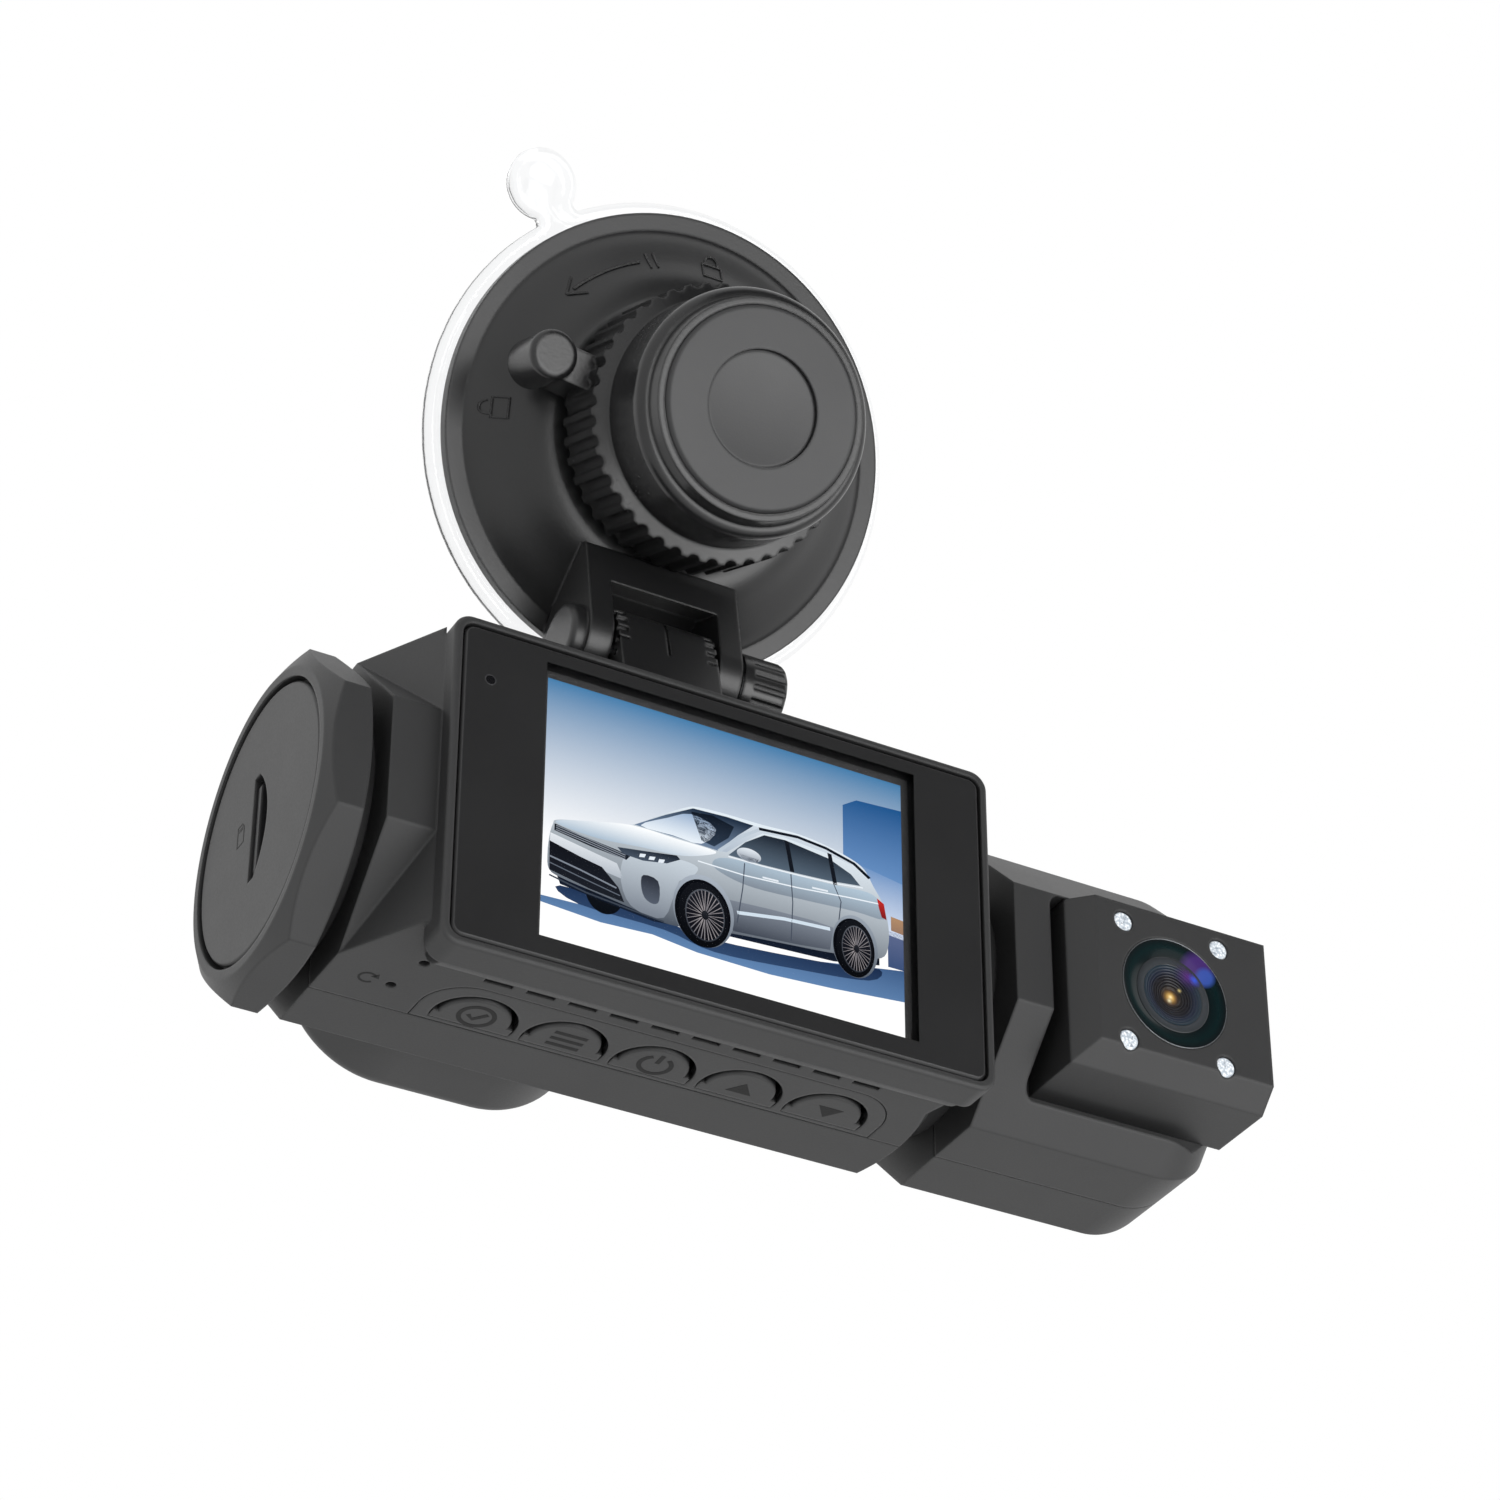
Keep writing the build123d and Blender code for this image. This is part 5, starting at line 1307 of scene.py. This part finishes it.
class DASHCAM_OT_screen(bpy.types.Operator):
    """Build the lit picture, and the black-printed cover glass with its clear window"""

    bl_idname = "dashcam.screen"
    bl_label = "Screen"

    def execute(self, context):
        settings = context.scene.dashcam_screen
        picture = Picture(settings)
        draw_backdrop(picture)
        draw_car(picture)
        if picture.layer > MOST_LAYERS:
            raise RuntimeError("the picture has more layers than the gap behind the glass holds")
        mesh = bpy.data.meshes.new("screen_picture")
        picture.mesh.to_mesh(mesh)
        picture.mesh.free()
        mesh.materials.append(picture_material("lit_picture", settings.brightness))
        made = bpy.data.objects.new("screen_picture", mesh)
        context.scene.collection.objects.link(made)
        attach(made, "camera")
        edge = settings.window_margin
        window = (settings.left - edge, settings.right + edge, settings.low - edge, settings.high + edge)
        dress(["display_glass"], cover_glass("printed_glass", window, settings))
        return {"FINISHED"}


class DASHCAM_OT_key_marks(bpy.types.Operator):
    """Mark the five keys: confirm, menu, power, up and down"""

    bl_idname = "dashcam.key_marks"
    bl_label = "Key marks"

    def put_mark(self, solid, name, placed, half, line):
        low, high = MARK_LOW, MARK_HIGH
        if name == "confirm":
            solid.band(placed, ring_points(half, 40), line, low, high, closed=True)
            tick = [(-0.5 * half, 0.02), (-0.12 * half, -0.36 * half), (0.52 * half, 0.42 * half)]
            solid.band(placed, tick, line, low, high)
        elif name == "menu":
            for rise in (-0.62, 0, 0.62):
                solid.band(placed, [(-half, rise * half), (half, rise * half)], line, low, high)
        elif name == "power":
            solid.band(placed, ring_points(half * 0.92, 40, 122, 296), line, low, high)
            solid.band(placed, [(0, 0.2 * half), (0, 1.12 * half)], line, low, high)
        else:
            way = 1 if name == "up" else -1
            corners = [
                (-0.8 * half, -0.5 * half * way), (0.8 * half, -0.5 * half * way), (0, 0.62 * half * way)
            ]
            solid.prism(placed, corners, low, high)

    def execute(self, context):
        marks = context.scene.dashcam_marks
        ink = printed("key_mark_dark", marks.key_colour)
        half = marks.key_mark_width / MM / 2
        for name in KEY_NAMES:
            low, _, centre = extent(f"button_{name}")
            placed = Placed((centre.x, centre.y + 0.0005, low.z), (1, 0, 0), (0, -1, 0))
            solid = Solid()
            self.put_mark(solid, name, placed, half, marks.key_line / MM)
            solid.piece(f"key_mark_{name}", f"key_{name}", "case_plastic", ink)
        return {"FINISHED"}


class DASHCAM_OT_body_marks(bpy.types.Operator):
    """Add the indicator window in the cover glass and the marks by the card slot and the reset hole"""

    bl_idname = "dashcam.body_marks"
    bl_label = "Body marks"

    def execute(self, context):
        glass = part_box("display_glass")[0]
        ring = Solid()
        placed = Placed((-0.02674, glass.y, -0.05139), (1, 0, 0), (0, 0, 1))
        ring.turned(placed, [(0, 0.008), (0.5, 0.008), (0.5, -0.05)], 32)
        ring.piece(
            "indicator_window", "camera", "lens_black", printed("indicator_dark", (0.002, 0.002, 0.003), 0.2)
        )
        rim = Solid()
        rim.turned(placed, [(0.5, 0.0), (0.52, 0.014), (0.62, 0.014), (0.64, 0.0)], 32, loop=True)
        rim.piece(
            "indicator_rim", "camera", "screen_glass", printed("indicator_grey", (0.03, 0.03, 0.032), 0.3)
        )
        ink = printed("case_mark_dark", (0.003, 0.003, 0.003))
        low, _, centre = extent("end_disc")
        placed = Placed((low.x, centre.y + 0.0048, centre.z + 0.0012), (0, -1, 0), (0, 0, 1))
        card = Solid()
        edge = [(-0.8, -1.2), (0.8, -1.2), (0.8, 0.65), (0.25, 1.2), (-0.8, 1.2)]
        card.band(placed, edge, 0.22, MARK_LOW, MARK_HIGH, closed=True)
        for shift in (-0.35, 0.0, 0.35):
            card.band(placed, [(shift, 0.45), (shift, 0.85)], 0.16, MARK_LOW, MARK_HIGH)
        card.piece("card_mark", "camera", "case_plastic", ink)
        centre = extent("reset_button")[2]
        placed = Placed((centre.x - 0.0026, centre.y - 0.0002, BODY_LOW_Z), (1, 0, 0), (0, -1, 0))
        arrow = Solid()
        radius = 0.85
        arrow.band(placed, ring_points(radius, 26, 40, 280), 0.26, MARK_LOW, MARK_HIGH)
        x, y = ring_points(radius, 2, 30, 1)[0]
        head = [(x - 0.5, y - 0.1), (x + 0.4, y - 0.25), (x + 0.15, y + 0.6)]
        arrow.prism(placed, head, MARK_LOW, MARK_HIGH)
        arrow.piece("reset_mark", "camera", "case_plastic", ink)
        return {"FINISHED"}


def lens_profile(radius, rows):
    """A turned profile from shares of the radius and depths in millimetres."""
    return [(share * radius, depth) for share, depth in rows]


class DASHCAM_OT_lenses(bpy.types.Operator):
    """Build the stepped lens stacks of the cabin camera and the forward camera"""

    bl_idname = "dashcam.lenses"
    bl_label = "Lenses"

    def stack(self, prefix, placed, radius, across, body, replaced):
        """Rim, cone, grey band, fine steps, amber core and coated dome, all about one axis."""
        centre = placed.origin
        rim = Solid()
        rows = [(0.984, 0.0), (0.99, 0.045), (1.0, 0.02), (1.0, -0.6), (0.95, -0.6), (0.95, -0.1)]
        rim.turned(placed, lens_profile(radius, rows), loop=True)
        finish = metal(f"{prefix}_rim_metal", (0.2, 0.21, 0.22), 0.3)
        rim.piece(f"{prefix}_rim", body, "lens_black", finish, replaced=replaced)
        cone = Solid()
        rows = [
            (0.984, 0.02), (0.96, -0.02), (0.9, -0.06), (0.8, -0.2), (0.72, -0.34), (0.69, -0.4),
            (0.69, -2.4), (0.984, -2.4),
        ]
        cone.turned(placed, lens_profile(radius, rows), loop=True)
        tones = [
            (0.6, (0.004, 0.006, 0.007, 1)),
            (0.72, (0.002, 0.006, 0.007, 1)),
            (0.86, (0.002, 0.01, 0.011, 1)),
            (1.0, (0.003, 0.004, 0.005, 1)),
        ]
        # Painted coating reflections: a purple and a blue glint on the cone.
        glint = [
            (52, radius * MM * 0.78, radius * MM * 0.34, (0.05, 0.02, 0.13, 1)),
            (38, radius * MM * 0.8, radius * MM * 0.2, (0.03, 0.07, 0.3, 1)),
        ]
        finish = lens_face(f"{prefix}_cone_black", centre, across, radius * MM, tones, glint)
        cone.piece(f"{prefix}_cone", body, "lens_black", finish)
        band = Solid()
        rows = [(0.69, -0.36), (0.67, -0.3), (0.565, -0.34), (0.55, -0.42), (0.55, -2.3), (0.69, -2.3)]
        band.turned(placed, lens_profile(radius, rows), loop=True)
        tones = [
            (0.53, (0.01, 0.011, 0.012, 1)), (0.58, (0.04, 0.044, 0.048, 1)), (0.68, (0.024, 0.027, 0.03, 1))
        ]
        finish = lens_face(f"{prefix}_band_grey", centre, across, radius * MM, tones)
        band.piece(f"{prefix}_band", body, "lens_black", finish)
        steps = Solid()
        rows = [(0.55, -0.4)]
        for i in range(8):
            share = 0.535 - 0.048 * i
            depth = -0.42 - 0.06 * i
            rows += [(share, depth), (share - 0.012, depth + 0.03), (share - 0.02, depth - 0.02)]
        rows += [(0.15, -0.96), (0.15, -2.6), (0.55, -2.6)]
        steps.turned(placed, lens_profile(radius, rows), loop=True)
        # The bluish teal towards the outer steps is a painted coating reflection, spread round the whole
        # ring.
        tones = [
            (0.12, (0.05, 0.03, 0.012, 1)),
            (0.2, (0.012, 0.01, 0.01, 1)),
            (0.34, (0.007, 0.006, 0.008, 1)),
            (0.44, (0.012, 0.016, 0.03, 1)),
            (0.55, (0.018, 0.03, 0.04, 1)),
        ]
        finish = lens_face(f"{prefix}_steps_dark", centre, across, radius * MM, tones)
        steps.piece(f"{prefix}_steps", body, "lens_black", finish)
        core = Solid()
        rows = [(0.0, -0.9), (0.05, -0.91), (0.09, -0.94), (0.15, -0.98), (0.15, -2.7), (0.0, -2.7)]
        core.turned(placed, lens_profile(radius, rows), 48)
        # Amber core with a painted highlight: near white at the very centre.
        tones = [
            (0.0, (0.9, 0.75, 0.4, 1)), (0.05, (0.5, 0.3, 0.08, 1)), (0.1, (0.16, 0.09, 0.03, 1)),
            (0.15, (0.03, 0.02, 0.02, 1)),
        ]
        finish = lens_face(f"{prefix}_core_amber_and_highlight", centre, across, radius * MM, tones)
        core.piece(f"{prefix}_core", body, "lens_glass", finish)
        dome = Solid()
        rows = []
        curve = radius * 1.15
        for i in range(15):
            share = 0.66 * (14 - i) / 14
            reach = share * radius
            rows.append((share, (math.sqrt(curve**2 - reach**2) - curve) * 0.2 - 0.06))
        dome.turned(placed, lens_profile(radius, rows))
        # Painted coating reflections in purple and blue, and painted highlights in pale yellow and amber.
        glint = [
            (55, radius * MM * 0.5, radius * MM * 0.3, (0.1, 0.02, 0.2, 1)),
            (42, radius * MM * 0.58, radius * MM * 0.15, (0.03, 0.08, 0.5, 1)),
            (236, radius * MM * 0.2, radius * MM * 0.07, (0.8, 0.75, 0.5, 1)),
            (40, radius * MM * 0.12, radius * MM * 0.06, (0.7, 0.55, 0.2, 1)),
        ]
        finish = lens_dome_material(f"{prefix}_dome_glass", centre, across, glint)
        dome.piece(f"{prefix}_dome", body, "lens_glass", finish)

    def execute(self, context):
        low, _, centre = extent("cabin_ring")
        placed = Placed((centre.x, low.y + 0.00005, centre.z), (1, 0, 0), (0, 0, 1))
        self.stack("cabin_lens_stack", placed, CABIN_STACK_R, 1, "cabin", ("cabin_ring", "cabin_lens"))
        _, high, centre = extent("front_lens")
        placed = Placed((centre.x, high.y - 0.0001, centre.z), (-1, 0, 0), (0, 0, 1))
        self.stack("front_lens_stack", placed, FRONT_STACK_R, -1, "camera", ("front_lens",))
        return {"FINISHED"}


class DASHCAM_OT_lamps(bpy.types.Operator):
    """Give the four infrared lamps their bright epoxy"""

    bl_idname = "dashcam.lamps"
    bl_label = "Lamps"

    def execute(self, context):
        dress(["ir_leds"], lamp_material("lamp_epoxy", 0.35))
        return {"FINISHED"}


class DASHCAM_OT_stage(bpy.types.Operator):
    """Lay the pale floor, hang the soft lights and set the camera"""

    bl_idname = "dashcam.stage"
    bl_label = "Stage"

    def light(self, context, name, place, target, width, height, power, colour=(1, 1, 1)):
        lamp = bpy.data.lights.new(name, "AREA")
        lamp.shape = "RECTANGLE"
        lamp.size = width
        lamp.size_y = height
        lamp.energy = power
        lamp.color = colour
        made = bpy.data.objects.new(name, lamp)
        context.scene.collection.objects.link(made)
        made.location = place
        made.rotation_euler = (Vector(target) - Vector(place)).to_track_quat("-Z", "Y").to_euler()
        made.visible_camera = False
        return made

    def stand(self, context, name, solid, material):
        """Puts a stage piece in the scene."""
        mesh = bpy.data.meshes.new(name)
        mesh.from_pydata([tuple(v) for v in solid.vertices], [], solid.faces)
        mesh.materials.append(material)
        made = bpy.data.objects.new(name, mesh)
        context.scene.collection.objects.link(made)
        return made

    def flag(self, context, place, target, width, height):
        """A black cloth card that keeps the surround's light off the front faces."""
        shader = Shader("flag_cloth", Specular_IOR_Level=0.1)
        weave = shader.noise(0.002, 2.0)
        shader.vary(Base_Color=shader.mix(weave, (0.1, 0.1, 0.1, 1), (0.14, 0.14, 0.14, 1)))
        shader.vary(Roughness=weave * 0.1 + 0.85)
        facing = Vector(target) - Vector(place)
        across = facing.cross(Vector((0, 0, 1)))
        placed = Placed(place, across, across.cross(facing))
        steps, card = 8, Solid()
        rows = []
        for i in range(steps + 1):
            rise = (i / steps - 0.5) * height / MM
            line = [((j / steps - 0.5) * width / MM, rise) for j in range(steps + 1)]
            rows.append(card.points([placed.at(x, y) for x, y in line]))
        card.skin(rows, closed=False)
        made = self.stand(context, "flag", card, shader.material)
        made.visible_camera = False
        return made

    def floor(self, context, settings):
        shader = Shader("pale_floor", Specular_IOR_Level=0.2)
        cloud = shader.noise(0.35, 3.0)
        shader.vary(Base_Color=shader.mix(cloud, (0.86, 0.86, 0.86, 1), (0.9, 0.9, 0.9, 1)))
        shader.vary(Roughness=cloud * 0.1 + 0.75)
        solid = Solid()
        level = -settings.floor_drop / MM
        placed = Placed((0, 0, 0), (1, 0, 0), (0, 1, 0))
        rows = [(reach, level) for reach in (0, 800, 1600, 2400, 3200, 4000)]
        solid.turned(placed, rows, 64)
        return self.stand(context, "floor", solid, shader.material)

    def camera(self, context, settings):
        data = bpy.data.cameras.new("camera")
        data.lens = settings.lens
        data.sensor_width = 36
        data.clip_start = 0.01
        made = bpy.data.objects.new("camera", data)
        context.scene.collection.objects.link(made)
        turn, rise, roll = settings.azimuth, settings.elevation, settings.roll
        back = Vector((math.sin(turn) * math.cos(rise), -math.cos(turn) * math.cos(rise), math.sin(rise)))
        right = Vector((0, 0, 1)).cross(back).normalized()
        up = back.cross(right)
        tilted_right = right * math.cos(roll) + up * math.sin(roll)
        tilted_up = up * math.cos(roll) - right * math.sin(roll)
        place = Vector(settings.aim) + back * settings.distance
        made.matrix_world = Matrix((tilted_right, tilted_up, back)).transposed().to_4x4()
        made.location = place
        context.scene.camera = made

    def execute(self, context):
        settings = context.scene.dashcam_stage
        world = bpy.data.worlds.new("studio")
        world.use_nodes = True
        surround = world.node_tree.nodes["Background"]
        surround.inputs[0].default_value = (1, 1, 1, 1)
        surround.inputs[1].default_value = settings.world_light
        context.scene.world = world
        context.scene.view_settings.view_transform = "Standard"
        floor = self.floor(context, settings)
        low_front = self.light(
            context, "low_front_light", (0.35, -0.75, -0.36), (0, 0, -0.05), 0.9, 0.6, settings.key_power
        )
        side = self.light(
            context, "side_light", (-0.6, 0.25, 0.1), (-0.02, 0, -0.04), 0.4, 0.6, settings.side_power
        )
        flag = self.flag(context, (0.28, -0.52, 0.34), (0, 0, -0.05), 0.74, 0.62)
        self.camera(context, settings)
        return {"FINISHED"}


OPERATORS = (
    DASHCAM_OT_case_finish,
    DASHCAM_OT_mount_finish,
    DASHCAM_OT_metal_finish,
    DASHCAM_OT_inner_finish,
    DASHCAM_OT_clear_cup,
    DASHCAM_OT_mount_marks,
    DASHCAM_OT_screen,
    DASHCAM_OT_key_marks,
    DASHCAM_OT_body_marks,
    DASHCAM_OT_lenses,
    DASHCAM_OT_lamps,
    DASHCAM_OT_stage,
)


class DASHCAM_PT_panel(bpy.types.Panel):
    """The steps that build the dash camera's finish, in order"""

    bl_idname = "DASHCAM_PT_panel"
    bl_label = "Dash camera"
    bl_space_type = "VIEW_3D"
    bl_region_type = "UI"
    bl_category = "Dash camera"

    def draw(self, context):
        for operator in OPERATORS:
            self.layout.operator(operator.bl_idname)
        for group in GROUPS:
            box = self.layout.box()
            for name in GROUPS[group].__annotations__:
                box.prop(getattr(context.scene, group), name)


GROUPS = {
    "dashcam_case": CaseSettings,
    "dashcam_cup": CupSettings,
    "dashcam_screen": ScreenSettings,
    "dashcam_marks": MarkSettings,
    "dashcam_stage": StageSettings,
}


def register():
    for name, group in GROUPS.items():
        bpy.utils.register_class(group)
        setattr(bpy.types.Scene, name, bpy.props.PointerProperty(type=group))
    for operator in OPERATORS:
        bpy.utils.register_class(operator)
    bpy.utils.register_class(DASHCAM_PT_panel)


def unregister():
    bpy.utils.unregister_class(DASHCAM_PT_panel)
    for operator in reversed(OPERATORS):
        bpy.utils.unregister_class(operator)
    for name, group in GROUPS.items():
        delattr(bpy.types.Scene, name)
        bpy.utils.unregister_class(group)


def main():
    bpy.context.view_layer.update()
    register()
    for operator in OPERATORS:
        group, name = operator.bl_idname.split(".")
        getattr(getattr(bpy.ops, group), name)()


if __name__ == "__main__":
    main()
